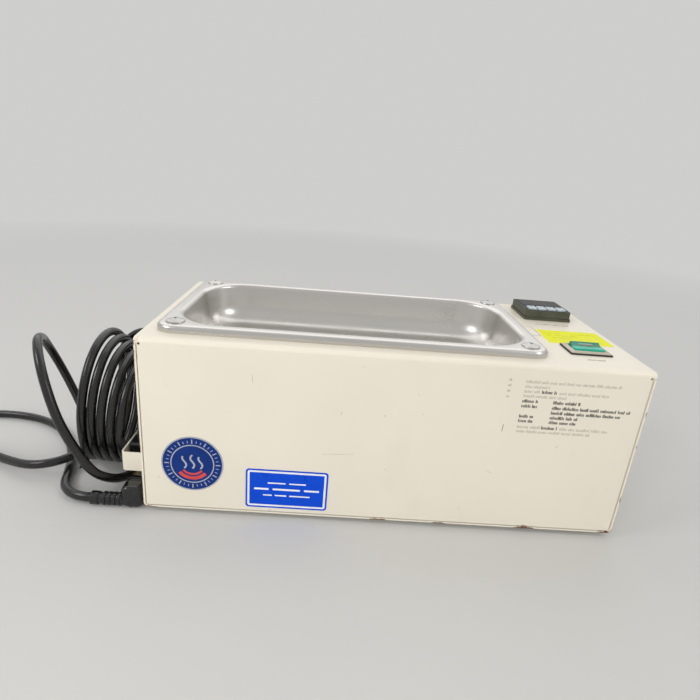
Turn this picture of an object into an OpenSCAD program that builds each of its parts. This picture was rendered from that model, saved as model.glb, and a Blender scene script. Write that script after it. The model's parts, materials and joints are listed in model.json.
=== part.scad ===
// Surgical solution warmer: a painted steel case with a heated drop-in basin, a temperature
// controller, a lit rocker switch and a mains lead that lies coiled at the left end.
// Lengths are millimetres. +X runs along the case, +Y to its back and +Z up.

/* [Case] */
// Length of the case
case_l = 430; // [422:1:470]
// Depth of the case, front to back
case_d = 207; // [200:1:235]
// Height of the case without its feet
case_h = 161; // [150:1:190]
// Thickness of the steel sheet
sheet_t = 1.5; // [1:0.1:2]
// Outer radius of the long folds
fold_r = 4; // [3:0.5:6]
// Outer radius of the cover's upright end folds
bend_r = 2.5; // [2.2:0.1:3.5]
// Slit between the cover's lower edge and the tray's floor
cover_gap = 1; // [0.5:0.1:2]
// Width of the flanges turned in at the ends of the cover's walls
flange_w = 16; // [13:1:22]
// Diameter of the relief holes at the cover's upper corners
relief_d = 2.2; // [1.5:0.1:3]

/* [Screws] */
// Shank diameter of the case, inlet, guard and basin screws
screw_d = 4; // [3:0.5:4.5]
// Head diameter of the pan head screws
head_d = 7; // [6:0.5:8]
// Head height of the pan head screws
head_h = 2; // [1.5:0.1:3]
// Radial clearance round a screw's shank
screw_gap = 0.1; // [0.05:0.01:0.2]
// Length of a case screw under its head
screw_l = 8; // [6:0.5:12]
// Height of the cover screws above the case's underside
cover_screw_z = 118; // [100:1:130]

/* [Feet] */
// Height of a rubber foot
foot_h = 5; // [4:0.5:6]
// Diameter of a rubber foot
foot_d = 16; // [14:1:20]
// Distance of a foot's centre from the case's edges
foot_inset = 24; // [18:1:30]

/* [Basin] */
// Width of the deck left of the basin's rim
basin_margin = 9.5; // [8:0.5:14]
// Length of the deck right of the basin's rim, which holds the controls
bay_l = 83; // [82:0.5:100]
// Depth of the basin's rim, front to back
rim_d = 175; // [160:1:180]
// Height of the rim above the deck
rim_h = 6.2; // [5.5:0.1:9]
// Depth of the basin below the top of its rim
basin_depth = 40; // [36:1:70]
// Thickness of the basin's steel
basin_t = 0.9; // [0.7:0.1:1.2]
// Radius of the rolled outer edge of the rim
roll_r = 4; // [3:0.1:4.5]
// Width of the flat brim, measured from the rim's outside
brim_w = 9; // [8:0.1:11]
// Radius of the edge between brim and wall
lip_r = 4.5; // [3.5:0.1:6]
// Slope of the basin's walls, in degrees
wall_draft = 9; // [5:0.5:11]
// Radius between wall and floor
floor_r = 22; // [14:0.5:24]
// Corner radius of the rim's outside
rim_corner_r = 16; // [14:0.5:22]
// Corner radius of the basin's mouth
mouth_corner_r = 45; // [42:0.5:54]
// Distance of the brim screws from the rim's short sides
brim_screw_end = 15.5; // [13:0.1:16]
// Distance of the brim screws from the rim's long sides
brim_screw_side = 14.3; // [13:0.1:16]
// Diameter of a brim screw's cup washer
cup_d = 16.5; // [13:0.5:17]
// Height of a cup washer
cup_h = 2; // [1.6:0.1:2.4]

/* [Heating] */
// Length of the heater pad under the basin
heater_l = 236; // [200:1:240]
// Width of the heater pad
heater_w = 88; // [70:1:90]
// Thickness of the heater pad
heater_t = 2; // [1.5:0.1:3]
// Thickness of the insulation round the basin
jacket_t = 6; // [5:0.5:7]
// Diameter of the temperature probe
probe_d = 5; // [4:0.5:6]
// Length of the temperature probe
probe_l = 60; // [50:1:70]
// Diameter of the thermal cut-off
cutoff_d = 16; // [14:1:18]
// Height of the thermal cut-off
cutoff_h = 9; // [9:0.5:12]

/* [Controller] */
// Width of the controller's square bezel
ctl_w = 50; // [48:1:52]
// Height of the bezel above the deck
ctl_h = 10.5; // [9:0.1:12]
// Height of the bezel's lower step
ctl_step_h = 3; // [2:0.1:4]
// Inset of the bezel's upper step
ctl_step = 0.9; // [0.6:0.1:1.5]
// Width of the controller's housing below the deck
ctl_case_w = 44.8; // [42:0.1:45]
// Depth of the housing below the deck
ctl_case_h = 80; // [60:1:90]
// Distance of the controller's centre from the case's right end
ctl_from_right = 41.5; // [38:0.5:45]
// Distance of the controller's centre from the case's back
ctl_from_back = 41.5; // [36:0.5:46]
// Length of a key along the case
key_l = 8.6; // [7:0.1:9]
// Width of a key, front to back
key_w = 11; // [9:0.1:12]
// Distance between keys
key_pitch = 10.4; // [10:0.1:11]
// Height of a key above the bezel
key_rise = 1.5; // [1.2:0.1:2]
// Travel of a key
key_travel = 0.6; // [0.4:0.1:0.8]
// Clearance round a key
key_gap = 0.2; // [0.15:0.05:0.3]
// Depth of the display window, front to back
lens_w = 24; // [20:0.5:27]
// Thickness of the display window
lens_t = 1.2; // [1:0.1:2]

/* [Switch] */
// Length of the switch's flange along the case
switch_l = 38.3; // [37:0.1:42]
// Width of the switch's flange, front to back
switch_w = 28; // [26:0.1:31]
// Thickness of the flange's gasket
switch_gasket_t = 1.4; // [1:0.1:2]
// Height of the sloped bezel
switch_bezel_h = 1.5; // [1.2:0.1:2.5]
// Distance of the switch's centre from the case's right end
switch_from_right = 40.5; // [36:0.5:44]
// Distance of the switch's centre from the case's front
switch_from_front = 48; // [45:0.5:51]
// Length of the rocker along the case
rocker_l = 27; // [24:0.1:28]
// Width of the rocker, front to back
rocker_w = 16.6; // [15:0.1:18]
// Full swing of the rocker, in degrees
rocker_swing = 16; // [10:1:18]
// Clearance beside the rocker
rocker_gap = 0.3; // [0.2:0.05:0.5]
// Diameter of the rocker's pivot pins
pivot_d = 2.8; // [2:0.1:3]
// Radial clearance of the pivot pins
pivot_gap = 0.05; // [0.02:0.01:0.08]
// Depth of the switch's housing below the deck
switch_body_h = 26; // [22:1:34]

/* [Power inlet] */
// Distance of the inlet's centre from the case's front
inlet_y = 50; // [48:1:52]
// Height of the inlet's centre above the case's underside
inlet_z = 31; // [30:0.5:32]
// Length of the inlet's flange, front to back
inlet_flange_l = 50; // [48:0.5:51]
// Height of the inlet's flange
inlet_flange_w = 24; // [23:0.5:26]
// Thickness of the inlet's flange
inlet_flange_t = 2.4; // [2:0.1:3]
// Distance between the inlet's screws
inlet_screw_pitch = 40; // [39:0.5:41]
// Projection of the guard strap from the case's end
guard_reach = 27; // [26.5:0.5:28]
// Width of the guard strap, front to back
guard_w = 56; // [55:0.5:60]
// Height of the guard strap
guard_h = 19; // [16:0.5:21]
// Length of the guard's screwed feet
guard_foot_l = 13; // [12:0.5:15]

/* [Lead] */
// Diameter of the mains lead
cord_d = 8.4; // [7:0.1:8.6]
// Width of the tie round the coil
tie_w = 8; // [5:0.5:10]
// Thickness of the tie
tie_t = 1; // [0.8:0.1:1.2]

/* [Labels] */
// Thickness of the labels
label_t = 0.15; // [0.1:0.05:0.3]
// Diameter of the round label on the front
round_label_d = 54; // [40:1:58]
// Length of the blue label on the front
asset_label_l = 73; // [50:1:80]
// Height of the blue label on the front
asset_label_h = 40; // [30:1:44]
// Length of the yellow label on the deck
deck_label_l = 64; // [50:1:66]
// Depth of the yellow label on the deck, front to back
deck_label_w = 41; // [34:1:42]

/* [Hidden] */
$fn = 48;

// A cut reaches this far past the faces it opens
eps = 1;

paint = [0.90, 0.87, 0.80];
steel = [0.72, 0.73, 0.74];
dark_steel = [0.45, 0.46, 0.48];
brass = [0.78, 0.62, 0.30];
black = [0.08, 0.08, 0.09];
key_grey = [0.68, 0.74, 0.78];

// The origin is under the middle of the case with its guard strap and screw heads
case_x0 = (guard_reach - case_l - head_h) / 2;
case_y0 = (label_t - case_d) / 2;

rim_l = case_l - basin_margin - bay_l;
basin_x = basin_margin + rim_l / 2;
basin_y = case_d / 2;
ctl_x = case_l - ctl_from_right;
ctl_y = case_d - ctl_from_back;
switch_x = case_l - switch_from_right;
switch_y = switch_from_front;
shank_r = screw_d / 2;
hole_r = shank_r + screw_gap;

// Points of the mains lead before and after its coil, in the case's own coordinates
lead_points = [[-13, 50, 75], [-13, 50, 84], [-13.2, 52.5, 96.6], [-13.6, 59.7, 107.5],
    [-14.2, 70.4, 115], [-15.2, 84, 118.5], [-17, 101, 120.5], [-20.5, 118, 120.5],
    [-26.5, 134, 119], [-37, 146, 115.5], [-53, 153.5, 111.3], [-66.5, 156.5, 101.8],
    [-75, 155.5, 85]];
tail_points = [[-27, 61, 1], [-30, 43, 2], [-39.5, 29, 7], [-53, 21, 19], [-66.5, 19, 43],
    [-80, 22, 70], [-92, 31, 97], [-103, 45, 117], [-114, 65, 127], [-123, 88, 122],
    [-126.5, 105, 105], [-124, 115, 84], [-118, 119, 62], [-110.5, 118, 43], [-102, 112, 28],
    [-93.5, 101, 18.5], [-86.5, 87, 13.5], [-85, 74, 11.8], [-88, 62, 10.8], [-95.5, 51.5, 10],
    [-106, 45, 9], [-119, 43, 7.4], [-133, 46, 5.4], [-149, 53, 3.2], [-167, 62, 1.3],
    [-187, 72, 0.2], [-207, 79.5, -0.4], [-226, 84.5, -0.4], [-242, 93.5, -0.4],
    [-251, 108.5, -0.4], [-251, 126, -0.4], [-242, 141, -0.4], [-226, 149.5, -0.4],
    [-205, 151.5, -0.4], [-181.5, 148.5, -0.4], [-159, 140.5, -0.4], [-139.5, 128, -0.4],
    [-124.5, 113, -0.4], [-114, 99, -0.4], [-105.5, 84.5, -0.4], [-97.5, 70, -0.4], [-93.1, 57, -0.2],
    [-87.2, 38.9, 0.3], [-84.3, 29.9, 0.6], [-80.2, 21.4, 0.8], [-73.9, 14.4, 1], [-65.8, 9.3, 1.2],
    [-56.7, 6.7, 1.3], [-49, 6.4, 1.3]];

module in_case() {
    translate([case_x0, case_y0, foot_h]) children();
}

module rounded_rect(l, w, r) {
    square([l - 2 * r, w], center = true);
    square([l, w - 2 * r], center = true);
    for (x = [-1, 1], y = [-1, 1])
        translate([x * (l / 2 - r), y * (w / 2 - r)]) circle(r);
}

module rounded_block(l, w, h, r) {
    linear_extrude(h) rounded_rect(l, w, r);
}

// Turns a shape so that its +Z points along +X and its +X along +Y
module facing_x() {
    rotate([90, 0, 90]) children();
}

// A pan head screw along +Z, with its head below zero
module pan_screw(length, head = head_d) {
    translate([0, 0, -head_h]) cylinder(d = head, h = head_h);
    cylinder(r = shank_r, h = length);
}

// Folded steel case

wall_bottom = sheet_t + cover_gap;
guard_screw_ys = [for (s = [-1, 1]) inlet_y + s * (guard_w + guard_foot_l) / 2];
guard_notch = 1;
seam_gap = 0.3;
fold_lap = 0.5;
wall_top = case_h - fold_r;
deck_under = case_h - sheet_t;
cover_screw_ys = [flange_w / 2 + bend_r, case_d - flange_w / 2 - bend_r];
foot_spots = [for (x = [foot_inset, case_l - foot_inset], y = [foot_inset, case_d - foot_inset])
    [x, y]];

module tray_section() {
    intersection() {
        difference() {
            translate([case_l / 2, case_h]) rounded_rect(case_l, 2 * case_h, fold_r);
            translate([case_l / 2, case_h])
                rounded_rect(case_l - 2 * sheet_t, 2 * (case_h - sheet_t), fold_r - sheet_t);
        }
        square([case_l, deck_under]);
    }
}

module end_outline() {
    square([case_d, wall_top - relief_d]);
    translate([case_d / 2, 0])
        rounded_rect(case_d - 2 * (sheet_t + seam_gap), 2 * deck_under, fold_r - sheet_t);
}

module cover_section() {
    intersection() {
        difference() {
            translate([case_d / 2, 0]) rounded_rect(case_d, 2 * case_h, fold_r);
            translate([case_d / 2, 0])
                rounded_rect(case_d - 2 * sheet_t, 2 * deck_under, fold_r - sheet_t);
        }
        translate([0, wall_top - fold_lap]) square([case_d, fold_r + fold_lap]);
    }
}

module wall_plan() {
    difference() {
        translate([case_l / 2, case_d / 2]) rounded_rect(case_l - 2 * sheet_t, case_d, bend_r);
        translate([case_l / 2, case_d / 2])
            rounded_rect(case_l - 4 * sheet_t, case_d - 2 * sheet_t, bend_r - sheet_t);
        translate([0, flange_w]) square([case_l, case_d - 2 * flange_w]);
    }
}

// Trims the cover's lower corners to clear the tray's bends
module bend_reliefs() {
    for (m = [0, 1]) translate([m * case_l, case_d + eps, 0]) mirror([m, 0, 0]) rotate([90, 0, 0])
        linear_extrude(case_d + 2 * eps) difference() {
            square(fold_r);
            translate([fold_r, fold_r]) circle(fold_r - sheet_t - seam_gap);
        }
}

module cover_screw_holes() {
    for (y = cover_screw_ys)
        translate([-eps, y, cover_screw_z]) facing_x() cylinder(r = hole_r, h = case_l + 2 * eps);
}

module chassis() {
    color(paint) in_case() difference() {
        intersection() {
            translate([0, case_d, 0]) rotate([90, 0, 0]) linear_extrude(case_d) tray_section();
            facing_x() linear_extrude(case_l) end_outline();
        }
        cover_screw_holes();
        for (p = foot_spots)
            translate([p[0], p[1], -eps]) cylinder(r = hole_r, h = sheet_t + 2 * eps);
        for (p = concat(relay_screw_spots, terminal_screw_spots, [stud_spot]))
            translate([p[0], p[1], -eps]) cylinder(r = hole_r, h = sheet_t + 2 * eps);
        at_inlet() translate([0, 0, -eps])
            rounded_block(inlet_body_l + 2 * inlet_gap, inlet_body_w + 2 * inlet_gap,
                sheet_t + 2 * eps, inlet_corner_r);
        at_inlet() for (y = [-1, 1])
            translate([y * inlet_screw_pitch / 2, 0, -eps]) cylinder(r = hole_r, h = sheet_t + 2 * eps);
        for (y = guard_screw_ys)
            translate([-eps, y, inlet_z]) facing_x() cylinder(r = hole_r, h = sheet_t + 2 * eps);
    }
}

module cover() {
    color(paint) in_case() difference() {
        union() {
            facing_x() linear_extrude(case_l) cover_section();
            translate([0, 0, wall_bottom]) linear_extrude(wall_top - wall_bottom) wall_plan();
        }
        cover_screw_holes();
        bend_reliefs();
        for (y = guard_screw_ys) translate([0, y, inlet_z]) facing_x()
            cylinder(r = hole_r + guard_notch, h = 2 * sheet_t + eps);
        for (x = [sheet_t + bend_r, case_l - sheet_t - bend_r])
            translate([x, -eps, wall_top - relief_d / 2]) rotate([-90, 0, 0])
                cylinder(d = relief_d, h = case_d + 2 * eps);
        translate([basin_x, basin_y, deck_under - eps])
            rounded_block(rim_l - 2 * mouth_cut, rim_d - 2 * mouth_cut, sheet_t + 2 * eps,
                mouth_corner_r - mouth_cut + brim_w);
        at_brim_screws() translate([0, 0, deck_under - eps]) cylinder(r = hole_r, h = sheet_t + 2 * eps);
        translate([ctl_x, ctl_y, deck_under + sheet_t / 2])
            cube([ctl_case_w + 2 * fit_gap, ctl_case_w + 2 * fit_gap, sheet_t + 2 * eps], center = true);
        translate([switch_x, switch_y, deck_under + sheet_t / 2])
            cube([collar_l + 2 * fit_gap, collar_w + 2 * fit_gap, sheet_t + 2 * eps], center = true);
    }
}

module cover_screws() {
    color(steel) in_case() for (y = cover_screw_ys) {
        translate([0, y, cover_screw_z]) facing_x() pan_screw(screw_l);
        translate([case_l, y, cover_screw_z]) rotate([0, -90, 0]) pan_screw(screw_l);
    }
}

// Rubber feet

foot_recess_h = foot_h - 2;

module feet() {
    color(black) in_case() for (p = foot_spots) translate([p[0], p[1], -foot_h]) difference() {
        cylinder(d = foot_d, h = foot_h);
        translate([0, 0, -eps]) cylinder(d = head_d + 2 * screw_gap, h = foot_recess_h + eps);
        cylinder(r = hole_r, h = foot_h + eps);
    }
}

module foot_screws() {
    color(steel) in_case() for (p = foot_spots)
        translate([p[0], p[1], foot_recess_h - foot_h]) pan_screw(screw_l);
}

// Basin, drawn from one sheet: insets are measured inwards from the rim's outside and
// heights from the deck

corner_steps = 8;
arc_steps = 4;
mouth_gap = 1;
mouth_cut = brim_w + lip_r - basin_t - mouth_gap;
lip_z = rim_h - lip_r;
floor_z = rim_h - basin_depth;
wall_run = (lip_z + lip_r * sin(wall_draft) - floor_z - floor_r + floor_r * sin(wall_draft))
    / cos(wall_draft);
floor_inset = brim_w + (lip_r + floor_r) * cos(wall_draft) + wall_run * sin(wall_draft);

function arc(cx, cz, r, from, to) =
    [for (i = [0:arc_steps]) let (a = from + (to - from) * i / arc_steps)
        [cx + r * cos(a), cz + r * sin(a)]];
// One face of the sheet from the floor's edge to the foot of the rim, lying t below the upper face
function sheet_face(t) = concat(
    arc(floor_inset, floor_z + floor_r, floor_r + t, 270, 180 + wall_draft),
    arc(brim_w, lip_z, lip_r - t, wall_draft, 90),
    arc(roll_r, rim_h - roll_r, roll_r - t, 90, 180),
    [[t, 0]]);
function reversed(list) = [for (i = [len(list) - 1:-1:0]) list[i]];
function ring_radius(inset) =
    inset < roll_r + 0.01 ? rim_corner_r - inset : mouth_corner_r - inset + brim_w;
function rim_ring(p) =
    let (hl = rim_l / 2 - p[0], hw = rim_d / 2 - p[0], r = ring_radius(p[0]))
    [for (q = [0:3]) for (i = [0:corner_steps]) let (a = 90 * (q + i / corner_steps))
        [(q == 0 || q == 3 ? 1 : -1) * (hl - r) + r * cos(a),
            (q < 2 ? 1 : -1) * (hw - r) + r * sin(a), p[1]]];
// Faces of a closed skin made of rows of n points, with a flat end at each side
function skin_faces(rows, n) = concat(
    [for (i = [1:n - 2]) [0, i + 1, i]],
    [for (j = [0:rows - 2]) for (i = [0:n - 1]) let (k = (i + 1) % n, a = j * n, b = a + n)
        each [[a + i, a + k, b + k], [a + i, b + k, b + i]]],
    [for (i = [1:n - 2]) let (a = (rows - 1) * n) [a, a + i, a + i + 1]]);

module at_brim_screws() {
    for (x = [-1, 1], y = [-1, 1])
        translate([basin_x + x * (rim_l / 2 - brim_screw_end),
            basin_y + y * (rim_d / 2 - brim_screw_side), 0]) children();
}

module basin() {
    rows = concat(sheet_face(0), reversed(sheet_face(basin_t)));
    points = [for (p = rows) each rim_ring(p)];
    color(steel) in_case() difference() {
        translate([basin_x, basin_y, case_h])
            polyhedron(points, skin_faces(len(rows), 4 * (corner_steps + 1)), convexity = 6);
        at_brim_screws() translate([0, 0, case_h]) cylinder(r = hole_r, h = rim_h + eps, $fn = 16);
    }
}

gasket_inset = roll_r + 1;
gasket_inner = brim_w - 0.3;

module basin_gasket() {
    color(black) in_case() difference() {
        translate([basin_x, basin_y, case_h])
            rounded_block(rim_l - 2 * gasket_inset, rim_d - 2 * gasket_inset, rim_h - basin_t,
                rim_corner_r - gasket_inset);
        translate([basin_x, basin_y, case_h - eps])
            rounded_block(rim_l - 2 * gasket_inner, rim_d - 2 * gasket_inner, rim_h + eps,
                mouth_corner_r + brim_w - gasket_inner);
        at_brim_screws() translate([0, 0, case_h - eps]) cylinder(r = hole_r, h = rim_h + eps);
    }
}

cup_seat = 0.7;
cup_head_r = 4.6;
cup_wall = 1.2;
cup_gap = 0.1;
nut_h = 3.2;
nut_r = 4.1;
dome_h = 1;
brim_grip = rim_h + sheet_t + nut_h;

module basin_washers() {
    rim = cup_d / 2;
    color(steel) in_case() at_brim_screws() translate([0, 0, case_h + rim_h]) rotate_extrude()
        polygon([[hole_r, 0], [rim, 0], [rim - 0.5, cup_h * 0.6], [cup_head_r + cup_wall, cup_h],
            [cup_head_r, cup_h], [hole_r, cup_seat]]);
}

module basin_screws() {
    color(steel) in_case() at_brim_screws() translate([0, 0, case_h + rim_h]) difference() {
        union() {
            rotate_extrude() polygon([[0, cup_seat], [shank_r, cup_seat],
                [cup_head_r - cup_gap, cup_h], [cup_head_r * 0.6, cup_h + dome_h * 0.75],
                [0, cup_h + dome_h]]);
            translate([0, 0, -brim_grip]) cylinder(r = shank_r, h = brim_grip + cup_seat);
        }
        for (a = [0, 90]) rotate(a) translate([-cup_head_r * 0.45, -0.45, cup_h - 0.4])
            cube([cup_head_r * 0.9, 0.9, dome_h + eps]);
    }
}

module basin_nuts() {
    color(dark_steel) in_case() at_brim_screws() translate([0, 0, deck_under - nut_h]) difference() {
        cylinder(r = nut_r, h = nut_h, $fn = 6);
        translate([0, 0, -eps]) cylinder(r = hole_r, h = nut_h + 2 * eps);
    }
}

// Heating under the basin

pan_under = case_h + floor_z - basin_t;
heater_under = pan_under - heater_t;
jacket_under = heater_under - jacket_t;
jacket_inset = mouth_cut;
cutoff_offset = 60;
probe_offset = 20;
cutoff_spot = [basin_x - cutoff_offset, basin_y];
probe_x = basin_x + probe_offset;
probe_y = basin_y + probe_offset;
probe_z = heater_under - probe_d / 2;
clip_l = 10;
clip_w = 13;
clip_h = probe_d + 1.2;
port_gap = 1.5;
wire_r = 1.4;
heater_lead_inset = 10;
heater_lead_pitch = 16;
probe_turn = 9;
heater_lead_x = basin_x + heater_l / 2 - heater_lead_inset;
heater_lead_ys = [basin_y - heater_lead_pitch / 2, basin_y + heater_lead_pitch / 2];
probe_turn_x = probe_x + probe_l + probe_turn;

module heater_pad() {
    color([0.75, 0.30, 0.18]) in_case() translate([basin_x, basin_y, heater_under])
        rounded_block(heater_l, heater_w, heater_t, 6);
}

module insulation_jacket() {
    color([0.86, 0.80, 0.62]) in_case() difference() {
        translate([basin_x, basin_y, jacket_under])
            rounded_block(rim_l - 2 * (jacket_inset - jacket_t), rim_d - 2 * (jacket_inset - jacket_t),
                deck_under - jacket_under, mouth_corner_r - jacket_inset + brim_w + jacket_t);
        translate([basin_x, basin_y, heater_under])
            rounded_block(rim_l - 2 * jacket_inset, rim_d - 2 * jacket_inset, case_h,
                mouth_corner_r - jacket_inset + brim_w);
        translate([cutoff_spot[0], cutoff_spot[1], jacket_under - eps])
            cylinder(d = cutoff_d + 2 * port_gap, h = jacket_t + 2 * eps);
        translate([probe_x - port_gap, probe_y - clip_w / 2 - port_gap, jacket_under - eps])
            cube([probe_turn_x + wire_r - probe_x + 2 * port_gap, clip_w + 2 * port_gap,
                jacket_t + 2 * eps]);
        for (y = heater_lead_ys) translate([heater_lead_x, y, jacket_under - eps])
            cylinder(r = wire_r + port_gap, h = jacket_t + 2 * eps);
    }
}

module thermal_cutoff() {
    color(black) in_case() translate([cutoff_spot[0], cutoff_spot[1], heater_under - cutoff_h]) {
        translate([0, 0, cutoff_h / 2]) cylinder(d = cutoff_d, h = cutoff_h / 2);
        cylinder(d = cutoff_d * 0.8, h = cutoff_h / 2);
        for (x = [-1, 1]) translate([x * cutoff_d / 4 - 0.4, -2.4, -6]) cube([0.8, 4.8, 6]);
    }
}

module temperature_probe() {
    color(steel) in_case() translate([probe_x, probe_y, probe_z]) facing_x()
        cylinder(d = probe_d, h = probe_l);
}

module probe_clip() {
    color(dark_steel) in_case() difference() {
        translate([probe_x + probe_l / 2 - clip_l / 2, probe_y - clip_w / 2, heater_under - clip_h])
            cube([clip_l, clip_w, clip_h]);
        translate([probe_x, probe_y, probe_z]) facing_x()
            cylinder(d = probe_d + 2 * screw_gap, h = probe_l);
        translate([probe_x, probe_y - probe_d / 2 - screw_gap, probe_z])
            cube([probe_l, probe_d + 2 * screw_gap, probe_d]);
    }
}

// Temperature controller

fit_gap = 0.2;
lens_gap = 0.2;
lens_sink = 1;
lens_l = ctl_w - 8;
lens_y = (ctl_w / 2 - ctl_step - 3) - lens_w / 2;
key_y = -ctl_w / 2 + ctl_step + 4 + key_w / 2;
key_depth = 2.6;
clamp_w = ctl_w + 4;
clamp_h = 6;
KEYS = ["key_index", "key_up", "key_down", "key_enter"];

module at_controller() {
    in_case() translate([ctl_x, ctl_y, case_h]) children();
}

function key_x(i) = (i - (len(KEYS) - 1) / 2) * key_pitch;

module controller_bezel() {
    upper = ctl_w - 2 * ctl_step;
    color(black) at_controller() difference() {
        union() {
            rounded_block(ctl_w, ctl_w, ctl_step_h, 1.5);
            rounded_block(upper, upper, ctl_h, 1.5);
        }
        translate([-lens_l / 2, lens_y - lens_w / 2, ctl_h - lens_sink])
            cube([lens_l, lens_w, lens_sink + eps]);
        for (i = [0:len(KEYS) - 1]) translate([key_x(i), key_y, ctl_h - key_depth - key_travel - fit_gap])
            rounded_block(key_l + 2 * key_gap, key_w + 2 * key_gap, ctl_h, 1);
    }
}

module controller_lens() {
    color([0.03, 0.03, 0.04]) at_controller() translate([0, lens_y, ctl_h - lens_sink])
        rounded_block(lens_l - 2 * lens_gap, lens_w - 2 * lens_gap, lens_t, 0.6);
}

module key(i) {
    color(key_grey) at_controller() translate([key_x(i), key_y, ctl_h - key_depth])
        rounded_block(key_l, key_w, key_depth + key_rise, 1);
}

module controller_case() {
    color(black) at_controller() translate([0, 0, -ctl_case_h])
        rounded_block(ctl_case_w, ctl_case_w, ctl_case_h, 1);
}

module controller_clamp() {
    color(black) at_controller() translate([0, 0, -sheet_t - clamp_h]) difference() {
        rounded_block(clamp_w, clamp_w, clamp_h, 2);
        translate([0, 0, clamp_h / 2])
            cube([ctl_case_w + 2 * fit_gap, ctl_case_w + 2 * fit_gap, clamp_h + 2 * eps], center = true);
    }
}

// Rocker switch: its own heights are measured from the rocker's pivot

pivot_drop = 2;
collar_wall = 1.7;
end_room = 0.8;
well_l = rocker_l + 2 * rocker_gap;
well_w = rocker_w + 2 * end_room;
collar_l = well_l + 2 * collar_wall;
collar_w = well_w + 2 * collar_wall;
well_depth = 14;
bezel_foot = 0.7;
bezel_land = 1.5;
rocker_proud = 2.7;
rocker_top = pivot_drop + switch_gasket_t + switch_bezel_h + rocker_proud;
rocker_valley = 2;
terminal_l = 9;
terminal_xs = [-8, 0, 8];

module at_switch() {
    in_case() translate([switch_x, switch_y, case_h]) children();
}

module switch_gasket() {
    color(black) at_switch() difference() {
        rounded_block(switch_l, switch_w, switch_gasket_t, 1.5);
        translate([0, 0, switch_gasket_t / 2])
            cube([collar_l + 2 * fit_gap, collar_w + 2 * fit_gap, switch_gasket_t + 2 * eps],
                center = true);
    }
}

// A frame's sloped sides seen from one end
module bezel_slope(foot, crown) {
    polygon([[-foot / 2, 0], [foot / 2, 0], [crown / 2, switch_bezel_h], [-crown / 2, switch_bezel_h]]);
}

module switch_bezel() {
    foot_l = switch_l - 2 * bezel_foot;
    foot_w = switch_w - 2 * bezel_foot;
    color([0.66, 0.60, 0.50]) at_switch() translate([0, 0, switch_gasket_t]) difference() {
        intersection() {
            translate([0, foot_w / 2, 0]) rotate([90, 0, 0]) linear_extrude(foot_w)
                bezel_slope(foot_l, well_l + 2 * bezel_land);
            translate([-foot_l / 2, 0, 0]) facing_x() linear_extrude(foot_l)
                bezel_slope(foot_w, well_w + 2 * bezel_land);
        }
        translate([0, 0, switch_bezel_h / 2])
            cube([well_l, well_w, switch_bezel_h + 2 * eps], center = true);
    }
}

module rocker_outline() {
    end = rocker_w / 2;
    polygon([[-3, -5], [3, -5], [5.5, -1], [end, 2], [end - 0.8, rocker_top],
        [0, rocker_top - rocker_valley], [0.8 - end, rocker_top], [-end, 2], [-5.5, -1]]);
}

module switch_rocker() {
    color([0.10, 0.55, 0.42]) at_switch() translate([0, 0, -pivot_drop])
    rotate([rocker_swing / 2, 0, 0]) {
        translate([-rocker_l / 2, 0, 0]) facing_x() linear_extrude(rocker_l) rocker_outline();
        translate([-collar_l / 2 + fit_gap, 0, 0]) facing_x()
            cylinder(d = pivot_d, h = collar_l - 2 * fit_gap);
    }
}

module switch_body() {
    color(black) at_switch() difference() {
        translate([-collar_l / 2, -collar_w / 2, -switch_body_h])
            cube([collar_l, collar_w, switch_body_h + switch_gasket_t]);
        translate([-well_l / 2, -well_w / 2, -well_depth])
            cube([well_l, well_w, well_depth + switch_gasket_t + eps]);
        translate([-collar_l / 2 - eps, 0, -pivot_drop]) facing_x()
            cylinder(d = pivot_d + 2 * pivot_gap, h = collar_l + 2 * eps);
    }
}

module switch_terminals() {
    color(brass) at_switch() for (x = terminal_xs)
        translate([x - 0.4, -3.15, -switch_body_h - terminal_l]) cube([0.8, 6.3, terminal_l]);
}

// Power inlet, its guard strap and the connector that it holds

inlet_body_l = 27;
inlet_body_w = 20;
inlet_body_h = 21;
inlet_gap = 0.2;
inlet_corner_r = 2;
inlet_well_l = 24.6;
inlet_well_w = 17;
inlet_well_h = 16;
pin_spots = [[-7, -2], [7, -2], [0, 2.5]];
pin_l = 4;
pin_t = 2;
pin_slack = 0.05;
pin_start = 4;
pin_tail = 6;

// Places a shape on the left end, with +X to the back, +Y up and +Z into the case
module at_inlet() {
    translate([0, inlet_y, inlet_z]) facing_x() children();
}

module power_inlet() {
    color(black) in_case() at_inlet() difference() {
        union() {
            translate([0, 0, -inlet_flange_t])
                rounded_block(inlet_flange_l, inlet_flange_w, inlet_flange_t, 4);
            rounded_block(inlet_body_l, inlet_body_w, inlet_body_h, inlet_corner_r);
        }
        translate([0, 0, -inlet_flange_t - eps])
            rounded_block(inlet_well_l, inlet_well_w, inlet_well_h + inlet_flange_t + eps, inlet_corner_r);
        for (s = [-1, 1]) translate([s * inlet_screw_pitch / 2, 0, -inlet_flange_t - eps])
            cylinder(r = hole_r, h = inlet_flange_t + 2 * eps);
        for (p = pin_spots) translate([p[0], p[1], inlet_body_h / 2])
            cube([pin_t + 2 * pin_slack, pin_l + 2 * pin_slack, inlet_body_h + 2 * eps], center = true);
    }
}

module inlet_pins() {
    color(brass) in_case() at_inlet() for (p = pin_spots)
        translate([p[0] - pin_t / 2, p[1] - pin_l / 2, pin_start])
            cube([pin_t, pin_l, inlet_body_h + pin_tail - pin_start]);
}

module inlet_screws() {
    color(steel) in_case() at_inlet() for (s = [-1, 1])
        translate([s * inlet_screw_pitch / 2, 0, -inlet_flange_t]) pan_screw(screw_l);
}

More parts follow.
